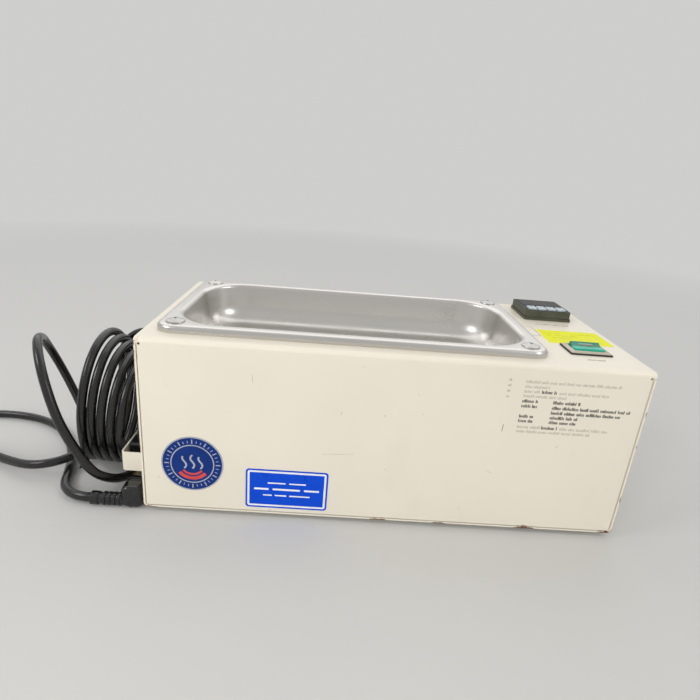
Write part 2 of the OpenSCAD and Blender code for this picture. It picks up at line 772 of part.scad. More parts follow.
module guard_bracket() {
    inner = guard_reach - sheet_t;
    color(paint) in_case() difference() {
        translate([0, inlet_y, inlet_z - guard_h / 2]) linear_extrude(guard_h) {
            intersection() {
                difference() {
                    rounded_rect(2 * guard_reach, guard_w, fold_r);
                    rounded_rect(2 * inner, guard_w - 2 * sheet_t, fold_r - sheet_t);
                }
                translate([-guard_reach, -guard_w / 2]) square([guard_reach, guard_w]);
            }
            for (s = [-1, 1]) translate([-sheet_t / 2, s * (guard_w + guard_foot_l - sheet_t) / 2])
                square([sheet_t, guard_foot_l + sheet_t], center = true);
        }
        for (y = guard_screw_ys) translate([-sheet_t - eps, y, inlet_z]) facing_x()
            cylinder(r = hole_r, h = sheet_t + 2 * eps);
    }
}

module guard_screws() {
    color(steel) in_case() for (y = guard_screw_ys)
        translate([-sheet_t, y, inlet_z]) facing_x() pan_screw(screw_l);
}

conn_l = 27;
conn_w = 21;
conn_reach = 24;
nose_l = 24;
nose_w = 16.4;
nose_h = 14;
nose_slot = 0.3;
relief_x = lead_points[0][0];
relief_y = lead_points[0][1];
relief_top = lead_points[0][2];
relief_foot_r = 8;
relief_tip_r = 5.6;
rib_count = 4;
rib_l = 2.4;
rib_rise = 0.9;

// A strain relief along +Z that tapers from its foot to its tip, with raised ribs
module strain_relief(length, foot_r, tip_r) {
    cylinder(r1 = foot_r, r2 = tip_r, h = length);
    for (i = [1:rib_count]) {
        share = i / (rib_count + 1);
        translate([0, 0, length * share - rib_l / 2])
            cylinder(r = foot_r + (tip_r - foot_r) * share + rib_rise, h = rib_l);
    }
}

module cord_connector() {
    top = inlet_z + conn_w / 2;
    color(black) in_case() difference() {
        union() {
            at_inlet() translate([0, 0, -conn_reach])
                rounded_block(conn_l, conn_w, conn_reach - inlet_flange_t, 3);
            at_inlet() translate([0, 0, -inlet_flange_t - eps])
                rounded_block(nose_l, nose_w, nose_h + inlet_flange_t + eps, inlet_corner_r);
            translate([relief_x, relief_y, top - 2])
                strain_relief(relief_top - top + 2, relief_foot_r, relief_tip_r);
        }
        at_inlet() for (p = pin_spots) translate([p[0], p[1], (nose_h + pin_start) / 2])
            cube([pin_t + 2 * nose_slot, pin_l + 2 * nose_slot, nose_h - pin_start + 2 * eps],
                center = true);
    }
}

// Mains lead: one smooth route from the connector through the standing coil, an upright loop
// and a loop on the floor to the plug, in the case's own coordinates

cord_r = cord_d / 2;
coil_first = 1 / 4;
coil_last = 5.5;
coil_points_per_turn = 12;
coil_x = -77;
coil_pitch = 9;
coil_y = 97;
coil_half_w = 54;
coil_low_z = 1;
coil_first_top = 130;
coil_last_top = 100;
coil_lean = 0.16;
coil_lean_z = 60;

function coil_point(k) =
    let (top = coil_first_top + (coil_last_top - coil_first_top) * k / 5,
        z = (top + coil_low_z) / 2 + (top - coil_low_z) / 2 * cos(360 * k))
    [coil_x + coil_pitch * k, coil_y + coil_half_w * sin(360 * k) + coil_lean * (z - coil_lean_z), z];
coil_points = [for (i = [0:round((coil_last - coil_first) * coil_points_per_turn)])
    coil_point(coil_first + i / coil_points_per_turn)];
route = concat(lead_points, coil_points, tail_points);
route_end = len(route) - 1;

function route_at(i) = i < 0 ? 2 * route[0] - route[1]
    : i > route_end ? 2 * route[route_end] - route[route_end - 1] : route[i];
// A smooth curve through the route's points: s counts points from the start
function route_point(s) =
    let (i = min(floor(s), route_end - 1), t = s - i, a = route_at(i - 1), b = route_at(i),
        c = route_at(i + 1), d = route_at(i + 2))
    b + (c - a) * t / 2 + (2 * a - 5 * b + 4 * c - d) * t * t / 2
        + (3 * b - a - 3 * c + d) * t * t * t / 2;
function unit(v) = v / norm(v);
function route_way(s) = unit(route_point(min(s + 0.01, route_end)) - route_point(max(s - 0.01, 0)));
// Side vectors that follow the route without twisting
function side_vectors(ways) =
    [for (i = 0, u = unit(cross(ways[0], [0.3, 1, 0.2])); i < len(ways);
        i = i + 1, u = i < len(ways) ? unit(u - (u * ways[i]) * ways[i]) : u) u];

module cord_tube(from, to, per_point, sides) {
    rings = round((to - from) * per_point);
    stops = [for (i = [0:rings]) from + (to - from) * i / rings];
    ways = [for (s = stops) route_way(s)];
    us = side_vectors(ways);
    points = [for (i = [0:rings]) let (p = route_point(stops[i]), v = cross(ways[i], us[i]))
        for (k = [0:sides - 1]) p + cord_r * (cos(360 * k / sides) * us[i] + sin(360 * k / sides) * v)];
    polyhedron(points, skin_faces(rings + 1, sides), convexity = 10);
}

coil_start = len(lead_points);
coil_end = coil_start + len(coil_points) - 1;
gap_steps = 2;
gap_reach = 3;
gap_stops = [for (i = [0:route_end * gap_steps]) route_point(i / gap_steps)];
least_gap = min([for (i = [0:len(gap_stops) - 1])
    for (j = [i + gap_reach * gap_steps:1:len(gap_stops) - 1])
        norm(gap_stops[i] - gap_stops[j])]) - cord_d;
cord_length = norm_sum(gap_stops);
function norm_sum(list) = [for (i = 0, total = 0; i < len(list);
    i = i + 1, total = total + (i < len(list) ? norm(list[i] - list[i - 1]) : 0)) total][len(list) - 1];
echo("Least gap of the lead to itself", least_gap, "length", cord_length);

module cord_lead() {
    color(black) in_case() cord_tube(0, coil_start, 1, 8);
}

module cord_coil() {
    color(black) in_case() cord_tube(coil_start, coil_end, 2, 6);
}

module cord_tail() {
    color(black) in_case() cord_tube(coil_end, route_end, 2, 8);
}

tie_gap = 0.6;
tie_y = coil_point(0.5)[1];
tie_left = coil_point(0.5)[0] - cord_r - tie_gap;
tie_right = coil_point(coil_last)[0] + cord_r + tie_gap;
tie_inner_h = cord_d + 2 * tie_gap;
tie_tail_l = 42;
tie_tail_w = 4;

module cord_tie() {
    inner_l = tie_right - tie_left;
    color(black) in_case() {
        translate([(tie_left + tie_right) / 2, tie_y + tie_w / 2, coil_low_z]) rotate([90, 0, 0])
            linear_extrude(tie_w) difference() {
                rounded_rect(inner_l + 2 * tie_t, tie_inner_h + 2 * tie_t, cord_r + tie_t);
                rounded_rect(inner_l, tie_inner_h, cord_r);
            }
        translate([tie_left - tie_t - tie_tail_w, tie_y + tie_w / 2 - tie_tail_l, coil_low_z])
            cube([tie_tail_w + tie_t / 2, tie_tail_l, tie_t]);
    }
}

// Right-angled plug lying on the floor

plug_tip = tail_points[len(tail_points) - 1];
plug_relief_l = 27;
plug_relief_r = 6.2;
plug_collar_l = 7;
plug_rib_l = 2.8;
plug_groove_l = 1.7;
plug_rib_count = 4;
// The relief leaves the body in front of its middle
plug_relief_offset = 4.8;
plug_body_l = 20;
plug_body_w = 22;
plug_body_h = 22;
plug_corner_r = 4;
plug_sleeve_t = 0.8;
blade_reach = 17;
blade_w = 6.3;
blade_t = 1.5;
blade_half_pitch = 6.35;
blade_rise = 16;
ground_rise = 4.4;
ground_r = 2.3;

module at_plug() {
    in_case() translate([plug_tip[0] + plug_relief_l, plug_tip[1], -foot_h]) children();
}

module plug_relief() {
    color(black) at_plug() translate([0, 0, plug_tip[2] + foot_h]) rotate([0, -90, 0]) {
        cylinder(r = cord_r + plug_sleeve_t, h = plug_relief_l);
        translate([0, 0, plug_relief_l - plug_collar_l])
            cylinder(r = plug_relief_r, h = plug_collar_l);
        for (i = [0:plug_rib_count - 1]) translate([0, 0, i * (plug_rib_l + plug_groove_l)])
            cylinder(r = plug_relief_r, h = plug_rib_l);
    }
}

module at_plug_body() {
    at_plug() translate([plug_body_l / 2, plug_body_w / 2 + plug_relief_offset, 0]) children();
}

module plug_body() {
    color(black) at_plug_body() translate([0, 0, plug_body_h / 2])
        rotate([90, 0, 0]) rounded_block(plug_body_l, plug_body_h, plug_body_w, plug_corner_r);
}

module plug_blades() {
    color(brass) at_plug_body() {
        for (s = [-1, 1]) translate([s * blade_half_pitch - blade_t / 2, 0, blade_rise - blade_w / 2])
            cube([blade_t, blade_reach, blade_w]);
        translate([0, 0, ground_rise]) rotate([-90, 0, 0]) cylinder(r = ground_r, h = blade_reach + 3);
    }
}

// Parts on the tray's floor at the right end

bay_gap = 5;
bay_x = case_l - bay_l + bay_gap;
relay_front = 30;
block_front = 106;
relay_l = 45;
relay_w = 58;
relay_h = 22;
relay_spot = [bay_x, relay_front];
relay_screw_inset = 5.8;
relay_screw_spots = [for (y = [relay_screw_inset, relay_w - relay_screw_inset])
    relay_spot + [relay_l / 2, y]];
relay_ear_h = 5;
relay_head_gap = 1;
block_l = 60;
block_w = 24;
block_h = 15;
block_spot = [bay_x, block_front];
block_ear_l = 7.5;
terminal_screw_spots = [for (x = [block_ear_l / 2, block_l - block_ear_l / 2])
    block_spot + [x, block_w / 2]];
block_ear_h = 5;
block_head_d = 6;
stud_x = 75;
stud_from_back = 57;
stud_spot = [stud_x, case_d - stud_from_back];
stud_h = 15;

module solid_state_relay() {
    color([0.85, 0.83, 0.76]) in_case() translate([relay_spot[0], relay_spot[1], sheet_t]) difference() {
        cube([relay_l, relay_w, relay_h]);
        for (p = relay_screw_spots) translate([p[0] - relay_spot[0], p[1] - relay_spot[1], relay_ear_h])
            cylinder(d = head_d + 2 * relay_head_gap, h = relay_h);
        for (p = relay_screw_spots) translate([p[0] - relay_spot[0], p[1] - relay_spot[1], -eps])
            cylinder(r = hole_r, h = relay_h);
    }
}

module relay_screws() {
    color(steel) in_case() for (p = relay_screw_spots)
        translate([p[0], p[1], sheet_t + relay_ear_h]) rotate([180, 0, 0])
            pan_screw(relay_ear_h + sheet_t);
}

module terminal_block() {
    color([0.9, 0.9, 0.88]) in_case() translate([block_spot[0], block_spot[1], sheet_t]) difference() {
        cube([block_l, block_w, block_h]);
        for (x = [-eps, block_l - block_ear_l]) translate([x, -eps, block_ear_h])
            cube([block_ear_l + eps, block_w + 2 * eps, block_h]);
        for (p = terminal_screw_spots) translate([p[0] - block_spot[0], p[1] - block_spot[1], -eps])
            cylinder(r = hole_r, h = block_h);
    }
}

module terminal_screws() {
    color(steel) in_case() for (p = terminal_screw_spots)
        translate([p[0], p[1], sheet_t + block_ear_h]) rotate([180, 0, 0])
            pan_screw(block_ear_h + sheet_t, block_head_d);
}

module ground_stud() {
    color(brass) in_case() translate([stud_spot[0], stud_spot[1], 0]) {
        cylinder(r = shank_r, h = stud_h);
        translate([0, 0, sheet_t]) cylinder(r = nut_r, h = nut_h, $fn = 6);
    }
}

// Wiring inside the case

floor_run_z = 4.5;
supply_clear = 18;
supply_pitch = 8;
pole_inset = 6;
pole_pitch = 12;
relay_pole = [17.5, 42];
switch_run_z = 76;
switch_run_step = 10;
probe_port = [8, 6];
low_run_z = 48;
high_run_z = 60;
probe_run_z = 70;
pin_back = inlet_body_h + pin_tail;
block_top = sheet_t + block_h;
relay_top = sheet_t + relay_h;
ctl_under = case_h - ctl_case_h;
terminal_under = case_h - switch_body_h - terminal_l;

// A round wire through a list of corners
module wire(corners) {
    for (i = [1:len(corners) - 1]) {
        a = corners[i - 1];
        run = corners[i] - a;
        level = norm([run[0], run[1]]);
        translate(a) rotate([0, atan2(level, run[2]), atan2(run[1], run[0])])
            cylinder(r = wire_r, h = norm(run), $fn = 16);
        if (i < len(corners) - 1) translate(corners[i]) sphere(r = wire_r, $fn = 16);
    }
}

module supply_leads() {
    color([0.15, 0.15, 0.16]) in_case() {
        for (i = [0, 1]) {
            y = inlet_y + pin_spots[i][0];
            z = inlet_z + pin_spots[i][1];
            drop_x = pin_back + supply_clear + supply_pitch * i;
            row_x = bay_x - supply_clear - supply_pitch * i;
            end_y = block_front + pole_inset + pole_pitch * i;
            wire([[pin_back, y, z], [drop_x, y, z], [drop_x, y, floor_run_z], [row_x, y, floor_run_z],
                [row_x, end_y, floor_run_z], [bay_x, end_y, floor_run_z]]);
        }
        z = inlet_z + pin_spots[2][1];
        wire([[pin_back, inlet_y, z], [stud_spot[0], inlet_y, z], [stud_spot[0], stud_spot[1], z],
            [stud_spot[0], stud_spot[1], stud_h]]);
    }
}

module heater_leads() {
    x = heater_lead_x;
    y = heater_lead_ys;
    relay_end = relay_spot + relay_pole;
    block_end = block_spot + [block_l / 2, block_w / 2];
    color([0.75, 0.16, 0.12]) in_case() {
        wire([[x, y[0], heater_under], [x, y[0], high_run_z], [relay_end[0], y[0], high_run_z],
            [relay_end[0], relay_end[1], high_run_z], [relay_end[0], relay_end[1], relay_top]]);
        wire([[x, y[1], heater_under], [x, y[1], low_run_z], [block_end[0], y[1], low_run_z],
            [block_end[0], block_end[1], low_run_z], [block_end[0], block_end[1], block_top]]);
    }
}

module probe_lead() {
    end = [ctl_x, ctl_y] - probe_port;
    color([0.8, 0.7, 0.2]) in_case()
        wire([[probe_x + probe_l, probe_y, probe_z], [probe_turn_x, probe_y, probe_z],
            [probe_turn_x, probe_y, probe_run_z], [end[0], probe_y, probe_run_z],
            [end[0], end[1], probe_run_z], [end[0], end[1], ctl_under]]);
}

module switch_leads() {
    pole = block_ear_l + pole_inset;
    ends = [bay_x + pole, bay_x + block_l - pole];
    color([0.2, 0.25, 0.6]) in_case() for (i = [0, 1]) {
        x = switch_x + terminal_xs[2 * i];
        y = block_front + block_w / 2;
        z = switch_run_z + switch_run_step * i;
        wire([[x, switch_y, terminal_under], [x, switch_y, z], [ends[i], switch_y, z], [ends[i], y, z],
            [ends[i], y, block_top]]);
    }
}

// Labels

round_label_spot = [44.4, 47];
asset_label_spot = [127.5, 26.2];
deck_label_from_right = 37;
deck_label_gap = 2.8;
deck_label_y = switch_from_front + switch_w / 2 + deck_label_gap + deck_label_w / 2;

module round_label() {
    color([0.10, 0.14, 0.36]) in_case() translate([round_label_spot[0], 0, round_label_spot[1]])
        rotate([90, 0, 0]) cylinder(d = round_label_d, h = label_t);
}

module asset_label() {
    color([0.10, 0.27, 0.75]) in_case() translate([asset_label_spot[0], 0, asset_label_spot[1]])
        rotate([90, 0, 0]) rounded_block(asset_label_l, asset_label_h, label_t, 3);
}

module deck_label() {
    color([0.95, 0.95, 0.08]) in_case() translate([case_l - deck_label_from_right, deck_label_y, case_h])
        rounded_block(deck_label_l, deck_label_w, label_t, 1.5);
}

chassis();
cover();
cover_screws();
feet();
foot_screws();
basin();
basin_gasket();
basin_washers();
basin_screws();
basin_nuts();
heater_pad();
insulation_jacket();
thermal_cutoff();
temperature_probe();
probe_clip();
controller_bezel();
controller_lens();
key(0);  // key_index
key(1);  // key_up
key(2);  // key_down
key(3);  // key_enter
controller_case();
controller_clamp();
switch_gasket();
switch_bezel();
switch_rocker();
switch_body();
switch_terminals();
power_inlet();
inlet_pins();
inlet_screws();
guard_bracket();
guard_screws();
cord_connector();
cord_lead();
cord_coil();
cord_tail();
cord_tie();
plug_relief();
plug_body();
plug_blades();
solid_state_relay();
relay_screws();
terminal_block();
terminal_screws();
ground_stud();
supply_leads();
heater_leads();
probe_lead();
switch_leads();
round_label();
asset_label();
deck_label();
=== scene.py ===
"""Looks of a surgical solution warmer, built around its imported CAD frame."""
import json
import math
import random

import bmesh
import bpy
from mathutils import Matrix, Vector


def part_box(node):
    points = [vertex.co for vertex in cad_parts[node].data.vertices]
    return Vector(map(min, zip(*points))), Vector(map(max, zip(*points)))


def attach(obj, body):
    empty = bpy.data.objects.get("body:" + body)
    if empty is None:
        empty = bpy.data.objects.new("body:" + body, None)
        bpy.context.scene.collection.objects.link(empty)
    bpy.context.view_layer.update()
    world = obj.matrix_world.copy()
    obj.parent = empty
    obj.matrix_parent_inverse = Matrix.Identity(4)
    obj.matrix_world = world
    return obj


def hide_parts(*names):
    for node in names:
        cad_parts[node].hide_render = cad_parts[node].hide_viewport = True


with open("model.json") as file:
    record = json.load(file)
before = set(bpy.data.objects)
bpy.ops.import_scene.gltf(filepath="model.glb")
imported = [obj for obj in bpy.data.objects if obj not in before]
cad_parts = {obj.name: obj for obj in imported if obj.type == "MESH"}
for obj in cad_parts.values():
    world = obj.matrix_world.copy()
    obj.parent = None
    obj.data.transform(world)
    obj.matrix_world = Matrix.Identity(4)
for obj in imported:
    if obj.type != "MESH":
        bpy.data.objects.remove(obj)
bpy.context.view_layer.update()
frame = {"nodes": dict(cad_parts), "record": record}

MM = 0.001

# The case's own coordinates: millimetres from its front lower left corner, without the feet.
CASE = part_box("chassis")[0]
CASE_SIZE = (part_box("chassis")[1] - CASE) / MM
CASE_L, CASE_D = CASE_SIZE.x, CASE_SIZE.y
CASE_H = (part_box("cover")[1].z - CASE.z) / MM


def at(x, y, z):
    """A point of the case's coordinates, in the row frame."""
    return CASE + Vector((x, y, z)) * MM


def in_case(point):
    """A point of the row frame, in the case's coordinates."""
    return (point - CASE) / MM


# Camera, at the photograph's viewing angle

CAMERA_SPOT = (158.3, -394.9, 306.2)
CAMERA_RIGHT = Vector((0.99688, -0.01022, 0.07830))
CAMERA_UP = Vector((-0.07008, 0.34230, 0.93697))
CAMERA_LENS = 26.76
CAMERA_SENSOR = 36.0
CAMERA_NEAR = 0.01

camera = bpy.data.objects.new("camera", bpy.data.cameras.new("camera"))
bpy.context.scene.collection.objects.link(camera)
camera.data.lens = CAMERA_LENS
camera.data.sensor_width = CAMERA_SENSOR
camera.data.clip_start = CAMERA_NEAR
turn = Matrix((CAMERA_RIGHT, CAMERA_UP, CAMERA_RIGHT.cross(CAMERA_UP))).transposed()
camera.matrix_world = Matrix.Translation(at(*CAMERA_SPOT)) @ turn.to_4x4()
bpy.context.scene.camera = camera
bpy.context.scene.view_settings.view_transform = "Standard"

# Mains lead, on the route of its solids: up from the connector, back behind the coil,
# through the standing coil, up into a leaning loop, out along the floor and back to the plug

CORD_D = 8.4
LEAD_POINTS = [
    (-13, 50, 75), (-13, 50, 84), (-13.2, 52.5, 96.6), (-13.6, 59.7, 107.5), (-14.2, 70.4, 115),
    (-15.2, 84, 118.5), (-17, 101, 120.5), (-20.5, 118, 120.5), (-26.5, 134, 119),
    (-37, 146, 115.5), (-53, 153.5, 111.3), (-66.5, 156.5, 101.8), (-75, 155.5, 85),
]
TAIL_POINTS = [
    (-27, 61, 1), (-30, 43, 2), (-39.5, 29, 7), (-53, 21, 19), (-66.5, 19, 43), (-80, 22, 70),
    (-92, 31, 97), (-103, 45, 117), (-114, 65, 127), (-123, 88, 122), (-126.5, 105, 105),
    (-124, 115, 84), (-118, 119, 62), (-110.5, 118, 43), (-102, 112, 28), (-93.5, 101, 18.5),
    (-86.5, 87, 13.5), (-85, 74, 11.8), (-88, 62, 10.8), (-95.5, 51.5, 10), (-106, 45, 9),
    (-119, 43, 7.4), (-133, 46, 5.4), (-149, 53, 3.2), (-167, 62, 1.3), (-187, 72, 0.2),
    (-207, 79.5, -0.4), (-226, 84.5, -0.4), (-242, 93.5, -0.4), (-251, 108.5, -0.4),
    (-251, 126, -0.4), (-242, 141, -0.4), (-226, 149.5, -0.4), (-205, 151.5, -0.4),
    (-181.5, 148.5, -0.4), (-159, 140.5, -0.4), (-139.5, 128, -0.4), (-124.5, 113, -0.4),
    (-114, 99, -0.4), (-105.5, 84.5, -0.4), (-97.5, 70, -0.4), (-93.1, 57, -0.2),
    (-87.2, 38.9, 0.3), (-84.3, 29.9, 0.6), (-80.2, 21.4, 0.8), (-73.9, 14.4, 1),
    (-65.8, 9.3, 1.2), (-56.7, 6.7, 1.3), (-49, 6.4, 1.3),
]
COIL_X, COIL_Y, COIL_LOW = -77, 97, 1
COIL_PITCH = 9
COIL_HALF_W = 54
COIL_TOPS = (130, 100)
COIL_TURNS = 5
COIL_LEAN, COIL_LEAN_Z = 0.16, 60
COIL_FROM, COIL_TO, COIL_STEPS = 0.25, 5.5, 12  # in turns, and steps to a turn
STEPS_PER_POINT = 6
CORD_ROUNDNESS = 5


def coil_point(k):
    """The coil's centreline after k turns."""
    top = COIL_TOPS[0] + (COIL_TOPS[1] - COIL_TOPS[0]) * k / COIL_TURNS
    z = (top + COIL_LOW) / 2 + (top - COIL_LOW) / 2 * math.cos(math.tau * k)
    y = COIL_Y + COIL_HALF_W * math.sin(math.tau * k) + COIL_LEAN * (z - COIL_LEAN_Z)
    return COIL_X + COIL_PITCH * k, y, z


def smooth_line(points, steps):
    """Points on an even curve through the given ones."""
    p = [Vector(q) for q in points]
    p = [2 * p[0] - p[1], *p, 2 * p[-1] - p[-2]]
    line = []
    for a, b, c, d in zip(p, p[1:], p[2:], p[3:]):
        for i in range(steps):
            t = i / steps
            line.append(b + (c - a) * t / 2 + (2 * a - 5 * b + 4 * c - d) * t * t / 2
                        + (3 * b - a - 3 * c + d) * t ** 3 / 2)
    return line + [p[-2]]


coil_count = round((COIL_TO - COIL_FROM) * COIL_STEPS)
coil_points = [coil_point(COIL_FROM + i / COIL_STEPS) for i in range(coil_count + 1)]
route = [at(*p) for p in smooth_line(LEAD_POINTS + coil_points + TAIL_POINTS, STEPS_PER_POINT)]

curve = bpy.data.curves.new("mains_lead", "CURVE")
curve.dimensions = "3D"
curve.bevel_depth = 1.0
curve.bevel_resolution = CORD_ROUNDNESS
curve.use_fill_caps = True
spline = curve.splines.new("POLY")
spline.points.add(len(route) - 1)
for point, spot in zip(spline.points, route):
    point.co = (*spot, 1)
    point.radius = CORD_D / 2 * MM
spline.use_smooth = True
mains_lead = bpy.data.objects.new("mains_lead", curve)
bpy.context.scene.collection.objects.link(mains_lead)
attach(mains_lead, "warmer")
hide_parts("cord_lead", "cord_coil", "cord_tail")

# Mesh building

MITRE_LEAST = 0.4


def skin(bm, rows, closed=False):
    """A closed mesh through rows of points: the rows are joined in turn and, if open, capped."""
    made = [[bm.verts.new(p) for p in row] for row in rows]
    pairs = list(zip(made, made[1:] + made[:1])) if closed else list(zip(made, made[1:]))
    for a, b in pairs:
        for i in range(len(a)):
            k = (i + 1) % len(a)
            bm.faces.new((a[i], a[k], b[k], b[i]))
    if not closed:
        bm.faces.new(made[0][::-1])
        bm.faces.new(made[-1])


def finished(name, bm, finish, body="warmer", smooth=None, stands_for=()):
    """The mesh as a piece of the object, riding on a body."""
    bmesh.ops.recalc_face_normals(bm, faces=bm.faces)
    mesh = bpy.data.meshes.new(name)
    bm.to_mesh(mesh)
    bm.free()
    if smooth is not None:
        mesh.shade_smooth()
        mesh.set_sharp_from_angle(angle=math.radians(smooth))
    made = bpy.data.objects.new(name, mesh)
    bpy.context.scene.collection.objects.link(made)
    mesh.materials.append(finish)
    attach(made, body)
    if stands_for:
        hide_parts(*stands_for)
    return made


def on_front(u, v, w):
    """A point w in front of the case's front face."""
    return at(u, -w, v)


def on_deck(u, v, w):
    """A point w above the deck."""
    return at(u, v, CASE_H + w)


def stroke(bm, plane, path, width, low, high, closed=False):
    """A flat stroke along a path of (u, v) points, from height low to high over the plane."""
    rows = []
    count = len(path)
    for i, (u, v) in enumerate(path):
        before = path[i - 1] if closed or i else path[i]
        after = path[(i + 1) % count] if closed or i < count - 1 else path[i]
        way = Vector((after[0] - before[0], after[1] - before[1])).normalized()
        side = Vector((-way.y, way.x)) * width / 2
        if closed or 0 < i < count - 1:
            first = Vector((u - before[0], v - before[1])).normalized()
            side /= max(MITRE_LEAST, first.dot(way))
        left, right = Vector((u, v)) + side, Vector((u, v)) - side
        rows.append([plane(*left, low), plane(*right, low), plane(*right, high), plane(*left, high)])
    skin(bm, rows, closed)


def plate(bm, plane, outline, low, high):
    """A flat sheet with the given outline of (u, v) points."""
    skin(bm, [[plane(u, v, w) for u, v in outline] for w in (low, high)])


def rounded_outline(cu, cv, width, height, radius, steps=6):
    """The outline of a rectangle with round corners."""
    points = []
    for q, (su, sv) in enumerate(((1, 1), (-1, 1), (-1, -1), (1, -1))):
        for i in range(steps + 1):
            a = math.radians(90 * (q + i / steps))
            points.append((cu + su * (width / 2 - radius) + radius * math.cos(a),
                           cv + sv * (height / 2 - radius) + radius * math.sin(a)))
    return points


def arc(cu, cv, radius, start, end, steps):
    """Points on an arc, the angles in degrees."""
    return [(cu + radius * math.cos(math.radians(start + (end - start) * i / steps)),
             cv + radius * math.sin(math.radians(start + (end - start) * i / steps)))
            for i in range(steps + 1)]


# Materials

NOISE_LOW, NOISE_HIGH = 0.3, 0.7
EDGE_COSINES, EDGE_SAMPLES = (0.98, 0.80), 6


class Finish:
    """A procedural material: one Principled shader and the textures wired into it."""

    def __init__(self, name, **shader):
        self.material = bpy.data.materials.new(name)
        self.material.use_nodes = True
        self.tree = self.material.node_tree
        self.shader = self.tree.nodes["Principled BSDF"]
        self.place = self.add("TexCoord").outputs["Object"]
        self.set(**shader)

    def add(self, kind, inputs=(), **settings):
        node = self.tree.nodes.new("ShaderNode" + kind)
        for name, value in settings.items():
            setattr(node, name, value)
        for name, value in dict(inputs).items():
            self.wire(node.inputs[name], value)
        return node

    def wire(self, socket, value):
        if isinstance(value, bpy.types.NodeSocket):
            self.tree.links.new(value, socket)
        elif isinstance(value, tuple) and len(value) == 3 and socket.type == "RGBA":
            socket.default_value = (*value, 1)
        else:
            socket.default_value = value

    def set(self, **shader):
        """Sets the shader's sockets: base_color is Base Color, and so on."""
        for name, value in shader.items():
            socket = name.replace("_", " ").title().replace("Ior", "IOR")
            self.wire(self.shader.inputs[socket], value)

    def noise(self, scale, detail, stretch=(1, 1, 1)):
        """Noise round 0.5, with about scale cells to the metre, stretched along each axis."""
        place = self.add("Mapping", {"Vector": self.place, "Scale": tuple(1 / s for s in stretch)})
        return self.add("TexNoise", {"Vector": place.outputs["Vector"], "Scale": scale,
                                     "Detail": detail}).outputs["Fac"]

    def remap(self, value, low, high, to_low=0.0, to_high=1.0):
        return self.add("MapRange", {"Value": value, "From Min": low, "From Max": high,
                                     "To Min": to_low, "To Max": to_high}).outputs["Result"]

    def vary(self, noise, low=0.0, high=1.0):
        """A value from low to high over the noise's usual range."""
        return self.remap(noise, NOISE_LOW, NOISE_HIGH, low, high)

    def math(self, operation, a, b=0.0):
        return self.add("Math", {0: a, 1: b}, operation=operation).outputs["Value"]

    def blend(self, amount, a, b):
        return self.add("Mix", {0: amount, 6: a, 7: b}, data_type="RGBA").outputs[2]

    def patchy(self, colour, spread, scale, detail=3.0):
        """The colour, in slightly darker and lighter patches."""
        dark = tuple(c * (1 - spread) for c in colour)
        light = tuple(min(1.0, c * (1 + spread)) for c in colour)
        return self.blend(self.vary(self.noise(scale, detail)), dark, light)

    def edges(self, radius):
        """1 along the piece's edges, 0 on its faces; the radius is in millimetres."""
        round_normal = self.add("Bevel", {"Radius": radius * MM}, samples=EDGE_SAMPLES).outputs["Normal"]
        flat_normal = self.add("NewGeometry").outputs["Normal"]
        cosine = self.add("VectorMath", {0: round_normal, 1: flat_normal}, operation="DOT_PRODUCT")
        return self.remap(cosine.outputs["Value"], *EDGE_COSINES)

    def bump(self, height, depth):
        """Relief of the given depth in millimetres."""
        made = self.add("Bump", {"Height": height, "Distance": depth * MM})
        self.set(normal=made.outputs["Normal"])


HANDLED_SHADE, SPECK_SHADE = 0.72, 0.5
CHIP_REACH = (-0.6, 2.4)  # millimetres in from an edge, none below 0
RUST_STAIN = (0.42, 0.25, 0.11)
RUST_DARK, RUST_LIGHT = (0.035, 0.016, 0.010), (0.20, 0.065, 0.022)


def painted(name, colour):
    """Semi-gloss enamel on sheet steel, chipped to rust along the case's edges."""
    f = Finish(name, coat_weight=0.12, coat_roughness=0.25)
    tone = f.patchy(colour, 0.025, 9)
    handled = f.remap(f.noise(26, 5, (1, 1, 2.5)), 0.60, 0.82, 0.0, 0.16)
    tone = f.blend(handled, tone, tuple(c * HANDLED_SHADE for c in colour))
    specks = f.remap(f.noise(150, 1), 0.795, 0.815, 0.0, 0.4)
    tone = f.blend(specks, tone, tuple(c * SPECK_SHADE for c in colour))
    from_edge = case_edge_distance(f)
    reach = f.remap(f.noise(38, 3), 0.55, 0.74, *CHIP_REACH)
    ragged = f.math("MULTIPLY", f.vary(f.noise(420, 4), 0.3, 1.5), reach)
    bare = f.remap(f.math("SUBTRACT", from_edge, ragged), 0.25, -0.05)
    stained = f.math("SUBTRACT", from_edge, f.math("MULTIPLY", reach, 2.0))
    tone = f.blend(f.remap(stained, 1.0, -1.0, 0.0, 0.35), tone, RUST_STAIN)
    rust = f.blend(f.noise(600, 4), RUST_DARK, RUST_LIGHT)
    f.set(base_color=f.blend(bare, tone, rust))
    gloss = f.vary(f.noise(40, 3), 0.34, 0.44)
    f.set(roughness=f.math("ADD", gloss, f.math("MULTIPLY", bare, 0.4)))
    f.bump(f.math("SUBTRACT", f.noise(750, 2), f.math("MULTIPLY", bare, 4.0)), 0.010)
    return f.material


def case_edge_distance(f):
    """Millimetres from the nearest bottom or upright edge of the case's box: the middle one of
    the distances to its nearest end, nearest long side and bottom."""
    parts = f.add("SeparateXYZ", {0: f.place}).outputs
    near = []
    for axis, size in enumerate((CASE_L, CASE_D)):
        middle = CASE[axis] + size * MM / 2
        off = f.math("ABSOLUTE", f.math("SUBTRACT", parts[axis], middle))
        gap = f.math("SUBTRACT", size * MM / 2, off)
        near.append(f.math("ABSOLUTE", f.math("DIVIDE", gap, MM)))
    height = f.math("ABSOLUTE", f.math("DIVIDE", f.math("SUBTRACT", parts["Z"], CASE.z), MM))
    low = f.math("MINIMUM", *near)
    high = f.math("MAXIMUM", *near)
    return f.math("MAXIMUM", low, f.math("MINIMUM", high, height))


